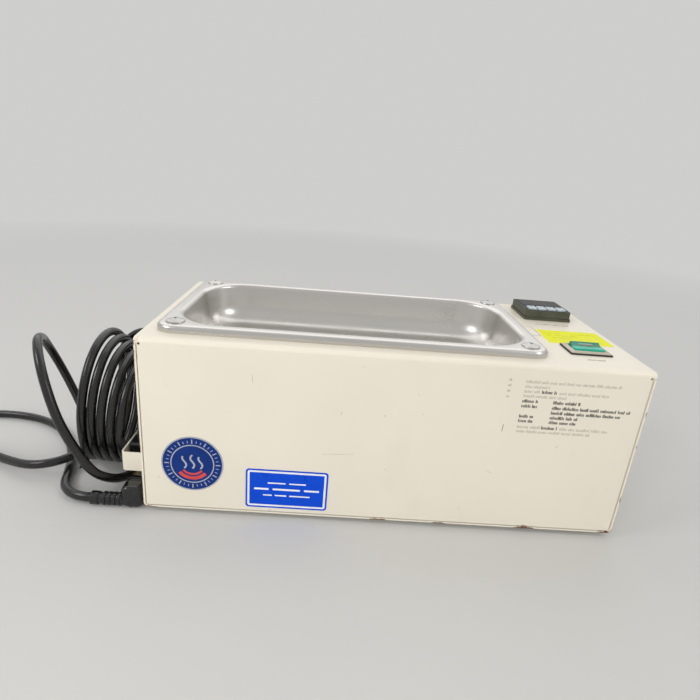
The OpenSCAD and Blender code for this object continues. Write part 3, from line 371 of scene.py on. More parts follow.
def metal(name, colour, rough, grain_scale, stains, grain=(1, 1, 1), relief=0.003, patch=24):
    """Satin metal with a fine grain and faint stains."""
    f = Finish(name, metallic=1.0)
    f.set(base_color=f.patchy(colour, stains, patch, 0))
    lines = f.noise(grain_scale, 3, grain)
    hazy = f.vary(f.noise(17, 0), -0.02, 0.03)
    f.set(roughness=f.math("ADD", f.vary(lines, rough - 0.02, rough + 0.02), hazy))
    if relief:
        f.bump(lines, relief)
    return f.material


def moulded(name, colour, rough, grain, depth, worn=None, edge=0.5, painted_side_reflection=None, **shader):
    """Moulded plastic or rubber: fine grain, patchy gloss, rubbed edges and, if given, a painted
    reflection in another colour on the upright faces.
    """
    f = Finish(name, **shader)
    tone = f.patchy(colour, 0.12, 60)
    if painted_side_reflection is not None:
        # Painted reflection: faces that stand upright get the other colour, as if they reflected the pale
        # surroundings.
        normal = f.add("NewGeometry").outputs["Normal"]
        upright = f.math("ABSOLUTE", f.add("SeparateXYZ", {0: normal}).outputs["Z"])
        tone = f.blend(f.remap(upright, 0.75, 0.35), tone, f.patchy(painted_side_reflection, 0.15, 90))
    if worn is not None:
        rubbed = f.math("MULTIPLY", f.edges(edge), f.remap(f.noise(210, 3), 0.38, 0.62, 0.1, 0.9))
        tone = f.blend(rubbed, tone, worn)
    f.set(base_color=tone, roughness=f.vary(f.noise(90, 4), rough - 0.05, rough + 0.06))
    f.bump(f.noise(grain, 2), depth)
    return f.material


def printed(name, colour, rough, fade=0.08):
    """Ink or printed vinyl with a slightly worn face."""
    f = Finish(name, specular_ior_level=0.15)
    tone = f.patchy(colour, fade, 140, 4)
    scuffed = f.remap(f.noise(520, 3), 0.70, 0.78, 0.0, 0.08)
    f.set(base_color=f.blend(scuffed, tone, tuple(min(1.0, c * 0.7 + 0.2) for c in colour)),
          roughness=f.vary(f.noise(70, 3), rough - 0.06, rough + 0.08))
    f.bump(f.noise(900, 2), 0.003)
    return f.material


SPLIT_BLUR = 0.2


def lit_and_shaded_halves(name, front, rear, split, rough):
    """Glossy plastic, one half lighter as painted light and the other darker as painted shade, split at a
    y of the row frame.
    """
    f = Finish(name, specular_ior_level=0.3)
    y = f.add("SeparateXYZ", {0: f.place}).outputs["Y"]
    half = f.remap(y, split - SPLIT_BLUR * MM, split + SPLIT_BLUR * MM)
    # Painted shade: the rear half's colour is darker for the less light it catches; the front half's
    # lighter colour is painted light.
    f.set(base_color=f.blend(half, f.patchy(front, 0.10, 80), f.patchy(rear, 0.12, 80)),
          roughness=f.vary(f.noise(90, 4), rough - 0.05, rough + 0.06))
    f.bump(f.noise(1200, 2), 0.004)
    return f.material


def fibrous(name, colour, scale):
    """Matted fibre or woven glass."""
    f = Finish(name, roughness=0.9)
    strands = f.noise(scale, 6, (3, 1, 1))
    f.set(base_color=f.blend(strands, tuple(c * 0.7 for c in colour), colour))
    f.bump(strands, 0.3)
    return f.material


PAINT = (0.800, 0.745, 0.630)
ROCKER_PIVOT = (389.5, 48, 159)
FINISHES = {
    "beige_paint": painted("beige_paint_worn", PAINT),
    "stainless": metal("stainless_satin", (0.64, 0.62, 0.595), 0.30, grain_scale=300, stains=0.02,
                       grain=(14, 14, 1), relief=0.0, patch=5),
    "fastener_steel": metal("fastener_bright", (0.50, 0.49, 0.47), 0.34, grain_scale=1500, stains=0.10),
    "black_rubber": moulded("rubber_matt", (0.022, 0.022, 0.023), 0.72, grain=1100, depth=0.03),
    "heater_silicone": moulded("heater_silicone_ribbed", (0.42, 0.13, 0.07), 0.6, grain=700, depth=0.06),
    "insulation": fibrous("insulation_wool", (0.62, 0.58, 0.48), scale=320),
    # The olive on the black plastic's upright faces is a painted reflection.
    "black_plastic": moulded("plastic_black", (0.010, 0.010, 0.012), 0.34, grain=1300, depth=0.010,
                             worn=(0.075, 0.075, 0.06), edge=0.2, painted_side_reflection=(0.085, 0.088, 0.060),
                             specular_ior_level=0.10),
    "display_lens": moulded("lens_dark", (0.004, 0.004, 0.007), 0.10, grain=700, depth=0.001,
                            specular_ior_level=0.08),
    "key_plastic": moulded("key_grey", (0.48, 0.54, 0.58), 0.42, grain=1300, depth=0.012,
                           worn=(0.64, 0.69, 0.71)),
    "switch_frame": moulded("switch_frame_tan", (0.42, 0.36, 0.27), 0.22, grain=1200, depth=0.003,
                            worn=(0.64, 0.58, 0.48), edge=0.4, coat_weight=0.4, coat_roughness=0.08),
    # The rocker's darker rear green is painted shade, its lighter front green painted light.
    "green_lens": lit_and_shaded_halves("rocker_green_shaded_rear", (0.030, 0.45, 0.32), (0.012, 0.20, 0.130),
                           split=at(*ROCKER_PIVOT).y, rough=0.24),
    "brass": metal("brass_plain", (0.66, 0.47, 0.20), 0.28, grain_scale=1200, stains=0.10),
    "cord_black": moulded("cord_pvc", (0.005, 0.005, 0.005), 0.25, grain=900, depth=0.006,
                          specular_ior_level=0.62),
    "relay_cream": moulded("relay_cream", (0.66, 0.62, 0.50), 0.45, grain=1200, depth=0.01),
    "wire_dark": moulded("wire_dark", (0.03, 0.03, 0.035), 0.42, grain=900, depth=0.01),
    "wire_red": moulded("wire_red", (0.40, 0.03, 0.025), 0.42, grain=900, depth=0.01),
    "label_navy": printed("label_navy", (0.006, 0.032, 0.190), 0.34),
    "label_blue": printed("label_blue", (0.002, 0.068, 0.630), 0.32, fade=0.05),
    "label_yellow": printed("label_yellow", (0.78, 0.79, 0.004), 0.45, fade=0.05),
}
GLOSSY_BLACK = moulded("plug_gloss", (0.004, 0.004, 0.005), 0.15, grain=900, depth=0.003,
                       specular_ior_level=0.7)
INK_DARK = printed("ink_dark", (0.022, 0.022, 0.024), 0.5)
INK_FAINT = printed("ink_faint", (0.22, 0.205, 0.170), 0.55, fade=0.12)
INK_WHITE = printed("ink_white", (0.84, 0.85, 0.87), 0.4)
INK_SILVER = printed("ink_silver", (0.42, 0.44, 0.48), 0.38)
INK_RED = printed("ink_red", (0.62, 0.075, 0.060), 0.4)
INK_TAN = printed("ink_tan", (0.24, 0.19, 0.13), 0.4)
INK_PALE = printed("ink_pale", (0.34, 0.42, 0.37), 0.4)
INK_FILM = printed("ink_film", (0.22, 0.20, 0.165), 0.5)
INK_KEY = printed("ink_key", (0.17, 0.19, 0.21), 0.45)
INK_OLIVE = printed("ink_olive", (0.46, 0.45, 0.010), 0.5)
INK_UNLIT = printed("ink_unlit", (0.022, 0.016, 0.017), 0.3)
SCUFF = printed("scuff", tuple(c * 0.80 for c in PAINT), 0.55, fade=0.10)

# CAD nodes that stay: each takes its slot's finish, and the ones in view soft edges

SOFT_EDGES = {
    "controller_bezel": 0.5, "controller_lens": 0.25, "key_index": 0.45, "key_up": 0.45,
    "key_down": 0.45, "key_enter": 0.45, "switch_gasket": 0.4, "switch_bezel": 0.5,
    "switch_rocker": 0.6, "guard_bracket": 0.3, "power_inlet": 0.4,
    "plug_relief": 0.45, "cord_connector": 0.6,
    "cover_screws": 0.35, "guard_screws": 0.35, "inlet_screws": 0.35, "foot_screws": 0.35,
    "feet": 0.6, "plug_blades": 0.25, "inlet_pins": 0.25,
}
WELD_GAP = 1e-6
FLAT_ANGLE, SOFT_ANGLE = math.radians(1), math.radians(35)
SOFT_SEGMENTS = 3
for subpart in frame["record"]["subparts"]:
    node = frame["nodes"][subpart["node"]]
    node.data.materials.clear()
    node.data.materials.append(FINISHES[subpart["material_slot"]])
for name in ("plug_relief", "cord_connector"):
    frame["nodes"][name].data.materials[0] = GLOSSY_BLACK
for name, width in SOFT_EDGES.items():
    modifiers = frame["nodes"][name].modifiers
    modifiers.new("weld", "WELD").merge_threshold = WELD_GAP
    flat = modifiers.new("flat", "DECIMATE")
    flat.decimate_type, flat.angle_limit = "DISSOLVE", FLAT_ANGLE
    soft = modifiers.new("soft", "BEVEL")
    soft.width, soft.segments = width * MM, SOFT_SEGMENTS
    soft.limit_method, soft.angle_limit = "ANGLE", SOFT_ANGLE
    modifiers.new("shade", "WEIGHTED_NORMAL")
mains_lead.data.materials.append(FINISHES["cord_black"])

# Basin: the drawn pan at full smoothness, with the profile of its solid

BASIN_LOW, BASIN_HIGH = (in_case(c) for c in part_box("basin"))
RIM_L, RIM_D = BASIN_HIGH.x - BASIN_LOW.x, BASIN_HIGH.y - BASIN_LOW.y
RIM_H = BASIN_HIGH.z - CASE_H
BASIN_T = 0.9
FLOOR_Z = BASIN_LOW.z + BASIN_T - CASE_H
ROLL_R, LIP_R, FLOOR_R = 4, 4.5, 22
BRIM_W = 9
WALL_DRAFT = 9
RIM_CORNER_R, MOUTH_CORNER_R = 16, 45
FLOOR_STEPS, ROLL_STEPS, CORNER_STEPS = 16, 10, 24
TOUCH = 0.01


def sheet_face(t):
    """One face of the sheet, t below the upper one: (inset from the rim, height over the deck)."""
    draft = math.radians(WALL_DRAFT)
    lip_z = RIM_H - LIP_R
    drop = lip_z - FLOOR_Z - FLOOR_R + (LIP_R + FLOOR_R) * math.sin(draft)
    inset = BRIM_W + (LIP_R + FLOOR_R) * math.cos(draft) + drop * math.tan(draft)
    return (arc(inset, FLOOR_Z + FLOOR_R, FLOOR_R + t, 270, 180 + WALL_DRAFT, FLOOR_STEPS)
            + arc(BRIM_W, lip_z, LIP_R - t, WALL_DRAFT, 90, ROLL_STEPS)
            + arc(ROLL_R, RIM_H - ROLL_R, ROLL_R - t, 90, 180, ROLL_STEPS) + [(t, 0)])


def rim_ring(inset, height):
    """A ring of the pan: its corners follow the rim on the outer roll and the mouth inside of it."""
    radius = RIM_CORNER_R - inset if inset < ROLL_R + TOUCH else MOUTH_CORNER_R - inset + BRIM_W
    middle = (BASIN_LOW + BASIN_HIGH) / 2
    outline = rounded_outline(middle.x, middle.y, RIM_L - 2 * inset, RIM_D - 2 * inset, radius,
                              CORNER_STEPS)
    return [on_deck(u, v, height) for u, v in outline]


bm = bmesh.new()
skin(bm, [rim_ring(*p) for p in sheet_face(0) + sheet_face(BASIN_T)[::-1]])
finished("basin_pan", bm, FINISHES["stainless"], smooth=40, stands_for=["basin"])

# Plug's moulded body: a domed front, two grip grooves, a chamfered blade face and a neck

PLUG_DOME, PLUG_DOME_FROM, PLUG_DOME_STEPS = 6, 15, 8
PLUG_CORNER_R, PLUG_LEAST_R = 6.5, 2
PLUG_CORNER_STEPS = 8
PLUG_CHAMFER = 0.8
GRIP_GROOVES, GRIP_W, GRIP_DEPTH = (13.5, 17.5), 1.6, 0.7
NECK_R, NECK_L, NECK_LAP = (5.4, 7.0), 9, 0.8
NECK_STEPS, NECK_SIDES = 6, 36
plug_low, plug_high = (in_case(c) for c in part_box("plug_body"))
plug_mid, plug_size = (plug_low + plug_high) / 2, plug_high - plug_low
relief_low, relief_high = (in_case(c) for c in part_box("plug_relief"))
relief_mid = (relief_low + relief_high) / 2


def plug_ring(inset, back):
    """The body's outline, back from its front, inset from its full size."""
    outline = rounded_outline(plug_mid.x, plug_mid.z, plug_size.x - 2 * inset,
                              plug_size.z - 2 * inset, max(PLUG_CORNER_R - inset, PLUG_LEAST_R),
                              PLUG_CORNER_STEPS)
    return [at(u, plug_low.y + back, v) for u, v in outline]


def plug_neck(bm):
    """The short flare by which the body takes up the relief."""
    rows = []
    for i in range(NECK_STEPS + 1):
        share = i / NECK_STEPS
        x = relief_high.x - NECK_LAP + (NECK_L + NECK_LAP) * share
        radius = NECK_R[0] + (NECK_R[1] - NECK_R[0]) * share ** 2
        ring = arc(relief_mid.y, relief_mid.z, radius, 0, 360 - 360 / NECK_SIDES, NECK_SIDES - 1)
        rows.append([at(x, max(plug_low.y, y), max(plug_low.z, z)) for y, z in ring])
    skin(bm, rows)


dome = [(PLUG_DOME - d, PLUG_DOME - b)
        for b, d in arc(0, 0, PLUG_DOME, PLUG_DOME_FROM, 90, PLUG_DOME_STEPS)]
grooves = [(inset, spot + shift) for spot in GRIP_GROOVES
           for inset, shift in ((0, -GRIP_W / 2), (GRIP_DEPTH, -GRIP_W / 6),
                                (GRIP_DEPTH, GRIP_W / 6), (0, GRIP_W / 2))]
blade_face = [(0, plug_size.y - PLUG_CHAMFER), (PLUG_CHAMFER, plug_size.y)]
bm = bmesh.new()
skin(bm, [plug_ring(*p) for p in dome + grooves + blade_face])
plug_neck(bm)
plug_shell = finished("plug_shell", bm, GLOSSY_BLACK, smooth=35,
                      stands_for=["plug_body"])

# Cable tie round the foot of the coil: band, head and a ribbed tail

TIE_W, TIE_T, TIE_GAP = 8, 1, 0.6
TIE_CHAMFER, TIE_BEND_STEPS = 0.25, 8
TIE_TAIL_L, TIE_TAIL_W, TIE_RIB_PITCH = 42, 4, 0.8
TIE_TIP_L, TIE_TIP_TAPER, TIE_GROOVE = 5, 0.25, 0.72
TIE_HEAD, TIE_HEAD_EDGE, TIE_HEAD_R = (5.5, 8.6, 6), 0.7, 0.9
tie_first, tie_last = Vector(coil_point(0.5)), Vector(coil_point(COIL_TO))
tie_in = CORD_D / 2 + TIE_GAP
tie_mid = (tie_first.x + tie_last.x) / 2
tie_half = (tie_last.x - tie_first.x) / 2 + tie_in


def tie_outline(out):
    """The band's outline, out from its inner face: (x, z) points."""
    return rounded_outline(tie_mid, COIL_LOW, 2 * (tie_half + out), 2 * (tie_in + out),
                           CORD_D / 2 + out, TIE_BEND_STEPS)


def tie_band(bm):
    half, c = TIE_W / 2, TIE_CHAMFER
    faces = [(0, -half + c), (0, half - c), (c, half), (TIE_T - c, half),
             (TIE_T, half - c), (TIE_T, -half + c), (TIE_T - c, -half), (c, -half)]
    rings = [tie_outline(out) for out, _ in faces]
    rows = [[at(ring[i][0], tie_first.y + side, ring[i][1]) for ring, (_, side) in zip(rings, faces)]
            for i in range(len(rings[0]))]
    skin(bm, rows, closed=True)


def tie_head(bm):
    width, depth, height = TIE_HEAD
    edge = TIE_HEAD_EDGE
    middle = tie_mid - tie_half - TIE_T - width / 2 + TIE_T / 2
    rows = []
    for inset, z in ((edge, 0), (0, edge), (0, height - edge), (edge, height)):
        plan = rounded_outline(middle, tie_first.y, width - 2 * inset, depth - 2 * inset,
                               TIE_HEAD_R, 3)
        rows.append([at(u, v, COIL_LOW - height / 2 + z) for u, v in plan])
    skin(bm, rows)


def tie_tail(bm):
    """The strap's free end, lying towards the front and narrowing to its tip."""
    rows = []
    right = tie_mid - tie_half - TIE_T
    for i in range(round(TIE_TAIL_L / TIE_RIB_PITCH) + 1):
        along = i * TIE_RIB_PITCH
        narrow = TIE_TIP_TAPER * max(0, along - TIE_TAIL_L + TIE_TIP_L)
        left_x, right_x = right - TIE_TAIL_W + narrow, right - narrow
        y = tie_first.y + TIE_W / 2 - along
        top = COIL_LOW + TIE_T * (1 if i % 2 else TIE_GROOVE)
        rows.append([at(left_x, y, COIL_LOW), at(right_x, y, COIL_LOW),
                     at(right_x, y, top), at(left_x, y, top)])
    skin(bm, rows)


bm = bmesh.new()
tie_band(bm)
tie_head(bm)
tie_tail(bm)
cable_tie = finished("cable_tie", bm, FINISHES["black_rubber"], smooth=35,
                     stands_for=["cord_tie"])

# Round label: plain rings, ticks, three rising waves and a red arc

LABEL_T = 0.15
PRINT_LOW, PRINT_HIGH = LABEL_T - 0.03, LABEL_T + 0.02
round_box = [in_case(c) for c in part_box("round_label")]
ROUND_U = (round_box[0].x + round_box[1].x) / 2
ROUND_V = (round_box[0].z + round_box[1].z) / 2
ROUND_R = (round_box[1].x - round_box[0].x) / 2
ROUND_STEPS = 72
ROUND_RINGS = ((ROUND_R - 0.6, 1.0), (ROUND_R * 0.69, 0.9))
DIAL_TICKS, BOLD_EVERY = 36, 3
DIAL_TICK, DIAL_BOLD = (0.77, 0.86, 0.55), (0.75, 0.90, 0.9)  # ends in shares of the radius, width
WAVE_PITCH, WAVE_SWING, WAVE_W = 7, 1.7, 1.5
WAVE_FOOT, WAVE_RISE, WAVE_STEPS = -4.5, 0.85, 16
WAVE_POINTS = {-1: 15, 0: 17, 1: 15}
ARC_BANDS = ((14.2, 3.2), (10.2, 2.0))
ARC_FROM, ARC_TO, ARC_STEPS = 218, 322, 24


def circle(radius):
    return arc(ROUND_U, ROUND_V, radius, 0, 360 - 360 / ROUND_STEPS, ROUND_STEPS - 1)


bm = bmesh.new()
for ring_r, ring_w in ROUND_RINGS:
    stroke(bm, on_front, circle(ring_r), ring_w, PRINT_LOW, PRINT_HIGH, closed=True)
for i in range(DIAL_TICKS):
    turn_by = math.radians(360 / DIAL_TICKS * i)
    way = Vector((math.cos(turn_by), math.sin(turn_by)))
    inner, outer, tick_w = DIAL_TICK if i % BOLD_EVERY else DIAL_BOLD
    ends = [(ROUND_U + way.x * r, ROUND_V + way.y * r) for r in (ROUND_R * inner, ROUND_R * outer)]
    stroke(bm, on_front, ends, tick_w, PRINT_LOW, PRINT_HIGH)
for column, count in WAVE_POINTS.items():
    wave = [(ROUND_U + column * WAVE_PITCH + WAVE_SWING * math.sin(math.tau * i / WAVE_STEPS),
             ROUND_V + WAVE_FOOT + WAVE_RISE * i) for i in range(count)]
    stroke(bm, on_front, wave, WAVE_W, PRINT_LOW, PRINT_HIGH)
finished("round_label_print", bm, INK_SILVER)
bm = bmesh.new()
for band_r, band_w in ARC_BANDS:
    band = arc(ROUND_U, ROUND_V, band_r, ARC_FROM, ARC_TO, ARC_STEPS)
    stroke(bm, on_front, band, band_w, PRINT_LOW, PRINT_HIGH)
finished("round_label_arc", bm, INK_RED)

# Printed marks that stand for lines of small print: rows of upright ticks, not letters

INK_LOW, INK_HIGH = -0.02, 0.03
PRINT_SEED = 11
TICK_PITCH, TICK_SPREAD = 0.36, (0.85, 1.2)
TICK_HEIGHTS = (0.7, 0.7, 1.0)
WORD_TICKS, WORD_GAP = (5, 12), 1.2
rng = random.Random(PRINT_SEED)


def print_line(bm, plane, start, end, base, tall, weight, low=INK_LOW, high=INK_HIGH):
    """A line of word-like groups of upright ticks."""
    u = start
    while u < end:
        for _ in range(rng.randint(*WORD_TICKS)):
            if u > end:
                break
            top = base + tall * rng.choice(TICK_HEIGHTS)
            stroke(bm, plane, [(u, base), (u, top)], weight, low, high)
            u += TICK_PITCH * tall * rng.uniform(*TICK_SPREAD)
        u += TICK_PITCH * tall * WORD_GAP


FAINT_LINES = [(322, 403, 145), (322, 342, 140.6), (322, 334.5, 136.2), (352, 394, 136.2),
               (322, 359, 132), (322, 341, 103), (359, 400, 103), (322, 386, 98.8)]
BOLD_LINES = [(337, 349, 136.2), (322, 335, 127.2), (348.5, 372, 127.2), (322, 335, 122.6),
              (348.5, 416, 122.2), (348.5, 408, 117.6), (322, 334, 113), (348.5, 372, 113),
              (322, 334, 108.6), (348.5, 372, 108.6), (343, 356, 103)]
DECK_LINES = [(371, 405, 125), (380.4, 397, 22)]
COLUMN_LINES = [(307.6, 309.6, 146 - 5 * row) for row in range(4)]
SMALL_PRINT = {  # each piece's ink, and its groups of lines with their height and stroke
    "small_print_faint": (INK_FAINT, [(on_front, FAINT_LINES, 2.7, 0.30),
                                      (on_front, COLUMN_LINES, 2.4, 0.36),
                                      (on_deck, DECK_LINES, 2.8, 0.60)]),
    "small_print_bold": (INK_DARK, [(on_front, BOLD_LINES, 3.0, 0.74)]),
}
for name, (ink, groups) in SMALL_PRINT.items():
    bm = bmesh.new()
    for plane, lines, tall, weight in groups:
        for start, end, base in lines:
            print_line(bm, plane, start, end, base, tall, weight)
    finished(name, bm, ink)

# Scuffs in the front's paint and the outline of a clear film on the deck

SCUFFS = [((95.1, 136.2), (96, 128.2), 0.7), ((157, 64.9), (184.3, 66.9), 0.6),
          ((302, 59), (308, 56.5), 0.5)]
FRONT_MARK = ((309.7, 105.5), (309.4, 98.6))
FILM = (354.5, 99.5, 14, 30.5)
FILM_CORNER_R = 3
FILM_W, SCUFF_HIGH = 0.6, 0.02
bm = bmesh.new()
for start, end, width in SCUFFS:
    stroke(bm, on_front, [start, end], width, INK_LOW, SCUFF_HIGH)
finished("paint_scuffs", bm, SCUFF)
bm = bmesh.new()
stroke(bm, on_deck, rounded_outline(*FILM, FILM_CORNER_R), FILM_W, INK_LOW, INK_HIGH, closed=True)
stroke(bm, on_front, FRONT_MARK, FILM_W, INK_LOW, INK_HIGH)
finished("film_edge", bm, INK_FILM)

# Asset label: white border and three rows of plain bars

asset_box = [in_case(c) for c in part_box("asset_label")]
ASSET_U, ASSET_V = ((asset_box[0][i] + asset_box[1][i]) / 2 for i in (0, 2))
ASSET_W, ASSET_H = (asset_box[1][i] - asset_box[0][i] for i in (0, 2))
ASSET_MARGIN, ASSET_CORNER_R, ASSET_BORDER_W, ASSET_BAR_R = 5, 1.2, 1.8, 0.5
ASSET_ROWS = [(6.2, 1.3, (-17, -1, 2, 17)), (-0.2, 1.9, (-29, -16, -12.5, 12, 15.5, 29)),
              (-6.6, 1.3, (-21, -13, -10.5, 0, 2.5, 21))]
bm = bmesh.new()
border = rounded_outline(ASSET_U, ASSET_V, ASSET_W - ASSET_MARGIN, ASSET_H - ASSET_MARGIN, ASSET_CORNER_R)
stroke(bm, on_front, border, ASSET_BORDER_W, PRINT_LOW, PRINT_HIGH, closed=True)
for lift, tall, ends in ASSET_ROWS:
    for start, end in zip(ends[::2], ends[1::2]):
        bar = rounded_outline(ASSET_U + (start + end) / 2, ASSET_V + lift, end - start, tall,
                              ASSET_BAR_R, 3)
        plate(bm, on_front, bar, PRINT_LOW, PRINT_HIGH)
finished("asset_label_print", bm, INK_WHITE)

# Keys and rocker: generic marks on the moving pieces

KEY_INK_T = 0.03


def key_mark(name, path, width, closed=False):
    """A mark on a key's top, its path from the key's middle; with no width it is filled."""
    low, high = (in_case(c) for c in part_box(name))
    spot = [((low.x + high.x) / 2 + u, (low.y + high.y) / 2 + v) for u, v in path]
    top = high.z - CASE_H
    bm = bmesh.new()
    if width:
        stroke(bm, on_deck, spot, width, top - KEY_INK_T, top + KEY_INK_T, closed)
    else:
        plate(bm, on_deck, spot, top - KEY_INK_T, top + KEY_INK_T)
    finished(name + "_mark", bm, INK_KEY, name + "_cap")


key_mark("key_index", rounded_outline(0, 1.5, 3, 2.6, 0.5), 0.4, closed=True)
key_mark("key_up", [(-1.4, 0.4), (1.4, 0.4), (0, 2.6)], 0)
key_mark("key_down", [(-1.4, 2.6), (0, 0.4), (1.4, 2.6)], 0)
key_mark("key_enter", [(1.4, 2.6), (1.4, 0.8), (-1.4, 0.8)], 0.45)

ROCKER_TOP, ROCKER_VALLEY, ROCKER_END = 7.6, 2.0, 7.5
ROCKER_REST = math.radians(8)
ROCKER_INK_LOW, ROCKER_INK_HIGH = -0.03, 0.05


def on_rocker(u, v, w):
    """A point w above the rocker's rear half, v back from the valley."""
    slope = math.atan2(ROCKER_VALLEY, ROCKER_END)
    y = v * math.cos(slope) - w * math.sin(slope)
    z = ROCKER_TOP - ROCKER_VALLEY + v * math.sin(slope) + w * math.cos(slope)
    c, s = math.cos(ROCKER_REST), math.sin(ROCKER_REST)
    return at(ROCKER_PIVOT[0] + u, ROCKER_PIVOT[1] + y * c - z * s, ROCKER_PIVOT[2] + y * s + z * c)


for name, ink, half, rise, width in (("rocker_mark", INK_PALE, 6.4, 4.3, 1.4),
                                     ("rocker_line", INK_TAN, 7.4, 2.3, 1.1)):
    bm = bmesh.new()
    stroke(bm, on_rocker, [(-half, rise), (half, rise)], width, ROCKER_INK_LOW, ROCKER_INK_HIGH)
    finished(name, bm, ink, "rocker")

# Display window: four unlit digits of seven segments

DIGITS, DIGIT_W, DIGIT_H, DIGIT_PITCH = 4, 5.6, 10, 9
SEGMENT_W, SEGMENT_GAP, SEGMENT_INK_T = 1.1, 0.5, 0.02
lens_low, lens_high = (in_case(c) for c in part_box("controller_lens"))
LENS_U, LENS_V = (lens_low.x + lens_high.x) / 2, (lens_low.y + lens_high.y) / 2
LENS_TOP = lens_high.z - CASE_H


def digit(bm, cu, cv):
    """The seven segments of one digit, round its middle."""
    half_w, half_h, gap = DIGIT_W / 2, DIGIT_H / 2, SEGMENT_GAP
    for v in (-half_h, 0, half_h):
        ends = [(cu - half_w + gap, cv + v), (cu + half_w - gap, cv + v)]
        stroke(bm, on_deck, ends, SEGMENT_W, LENS_TOP - SEGMENT_INK_T, LENS_TOP + SEGMENT_INK_T)
    for u in (-half_w, half_w):
        for low, high in ((-half_h, 0), (0, half_h)):
            ends = [(cu + u, cv + low + gap), (cu + u, cv + high - gap)]
            stroke(bm, on_deck, ends, SEGMENT_W, LENS_TOP - SEGMENT_INK_T, LENS_TOP + SEGMENT_INK_T)


bm = bmesh.new()
for i in range(DIGITS):
    digit(bm, LENS_U + (i - (DIGITS - 1) / 2) * DIGIT_PITCH, LENS_V)
finished("display_segments", bm, INK_UNLIT)

# Deck label, torn along its left side, with faint rows of print

deck_low, deck_high = (in_case(c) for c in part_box("deck_label"))
DECK_LABEL_W = deck_high.y - deck_low.y
DECK_LABEL_LOW = 0.01
DECK_PRINT_TALL, DECK_PRINT_W = 2.2, 0.4
TEAR, TEAR_STEPS, TEAR_ENDS = 4.5, 22, 0.4
WORN, WORN_STEPS = 0.3, 8
DECK_LABEL_ROWS = [(7, 24, 30), (8, 38, 23), (10, 30, 16), (34, 58, 30)]
bm = bmesh.new()
torn = []
for i in range(TEAR_STEPS + 1):
    depth = TEAR_ENDS + (1 - TEAR_ENDS) * math.sin(math.pi * i / TEAR_STEPS)
    torn.append((deck_low.x + TEAR * rng.uniform(0, 1) * depth,
                 deck_high.y - DECK_LABEL_W * i / TEAR_STEPS))
worn_side = [(deck_high.x - rng.uniform(0, WORN), deck_low.y + DECK_LABEL_W * i / WORN_STEPS)
             for i in range(WORN_STEPS + 1)]
plate(bm, on_deck, torn + worn_side, DECK_LABEL_LOW, LABEL_T)
finished("deck_label_torn", bm, FINISHES["label_yellow"], stands_for=["deck_label"])
bm = bmesh.new()
for start, end, rise in DECK_LABEL_ROWS:
    print_line(bm, on_deck, deck_low.x + start, deck_low.x + end, deck_low.y + rise,
               DECK_PRINT_TALL, DECK_PRINT_W, PRINT_LOW, PRINT_HIGH)
finished("deck_label_print", bm, INK_OLIVE)

# Floor, light and background

FLOOR_COLOUR = (0.60, 0.595, 0.58)
BACKGROUND = (0.62, 0.62, 0.61)
FLOOR_REACH = 14.0
FADE_FROM, FADE_TO = 0.25, 2.0
FILL, FILL_COLOUR = 0.38, (1, 0.99, 0.97)
FLOOR_PATCH, FLOOR_PATCH_SCALE = 0.015, 3


def seen_rays(tree):
    """1 for rays that show a surface: from the camera, in a reflection or through glass."""
    path = tree.nodes.new("ShaderNodeLightPath")
    seen = path.outputs["Is Camera Ray"]
    for ray in ("Is Glossy Ray", "Is Transmission Ray"):
        either = tree.nodes.new("ShaderNodeMath")
        either.operation = "MAXIMUM"
        tree.links.new(seen, either.inputs[0])
        tree.links.new(path.outputs[ray], either.inputs[1])
        seen = either.outputs["Value"]
    return seen


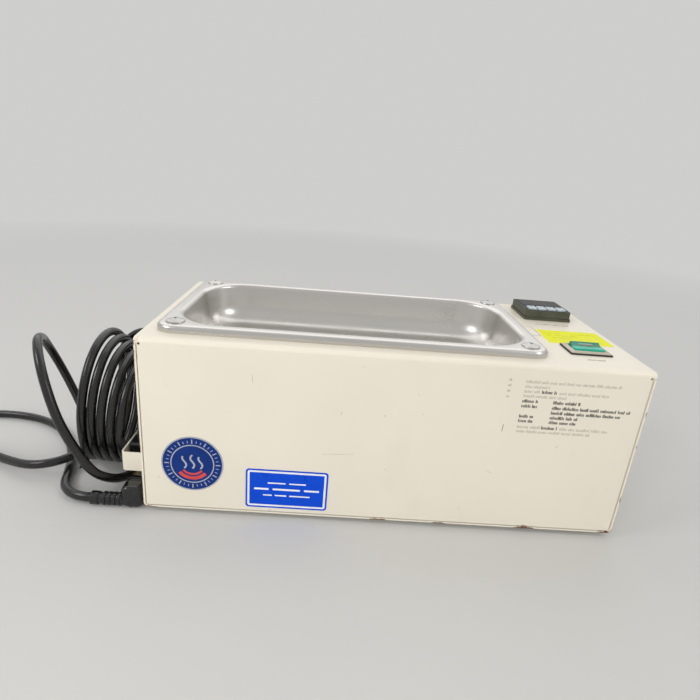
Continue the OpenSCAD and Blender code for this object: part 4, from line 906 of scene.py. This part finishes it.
bm = bmesh.new()
bmesh.ops.create_grid(bm, x_segments=1, y_segments=1, size=FLOOR_REACH)
mesh = bpy.data.meshes.new("floor")
bm.to_mesh(mesh)
bm.free()
floor = bpy.data.objects.new("floor", mesh)
bpy.context.scene.collection.objects.link(floor)
ground = Finish("floor_pale", roughness=0.85)
ground.set(base_color=ground.patchy(FLOOR_COLOUR, FLOOR_PATCH, FLOOR_PATCH_SCALE))
distance = ground.add("VectorMath", {0: ground.place}, operation="LENGTH").outputs["Value"]
fade = ground.math("MULTIPLY", ground.remap(distance, FADE_FROM, FADE_TO), seen_rays(ground.tree))
backdrop = ground.add("Emission", {"Color": BACKGROUND})
blend = ground.add("MixShader", {0: fade, 1: ground.shader.outputs["BSDF"], 2: backdrop.outputs[0]})
ground.wire(ground.tree.nodes["Material Output"].inputs["Surface"], blend.outputs[0])
mesh.materials.append(ground.material)

world = bpy.data.worlds.new("studio")
bpy.context.scene.world = world
world.use_nodes = True
sky = world.node_tree
fill = sky.nodes["Background"]
fill.inputs["Color"].default_value = (*FILL_COLOUR, 1)
fill.inputs["Strength"].default_value = FILL
shown = sky.nodes.new("ShaderNodeBackground")
shown.inputs["Color"].default_value = (*BACKGROUND, 1)
choose = sky.nodes.new("ShaderNodeMixShader")
sky.links.new(seen_rays(sky), choose.inputs[0])
sky.links.new(fill.outputs[0], choose.inputs[1])
sky.links.new(shown.outputs[0], choose.inputs[2])
sky.links.new(choose.outputs[0], sky.nodes["World Output"].inputs["Surface"])


def area_lamp(name, spot, aim, size, watts, mirrored=True):
    """A soft rectangular lamp, metres and watts; it may stay out of reflections."""
    light = bpy.data.lights.new(name, "AREA")
    light.shape = "RECTANGLE"
    light.size, light.size_y = size
    light.energy = watts
    made = bpy.data.objects.new(name, light)
    made.location = spot
    made.rotation_euler = (Vector(aim) - Vector(spot)).to_track_quat("-Z", "Y").to_euler()
    made.visible_camera = False
    made.visible_glossy = mirrored
    bpy.context.scene.collection.objects.link(made)


area_lamp("overhead", (-0.05, 0.95, 1.25), (0, 0, 0.12), size=(2.8, 1.6), watts=12.0)
area_lamp("key_left", (-1.2, -0.5, 1.2), (0, 0, 0.12), size=(0.5, 0.5), watts=5.0)
area_lamp("key_right", (1.15, -0.5, 1.2), (0, 0, 0.12), size=(0.5, 0.5), watts=4.0)
area_lamp("front_fill", (-0.55, -1.5, 0.85), (0, 0, 0.08), size=(1.2, 0.9), watts=16, mirrored=False)
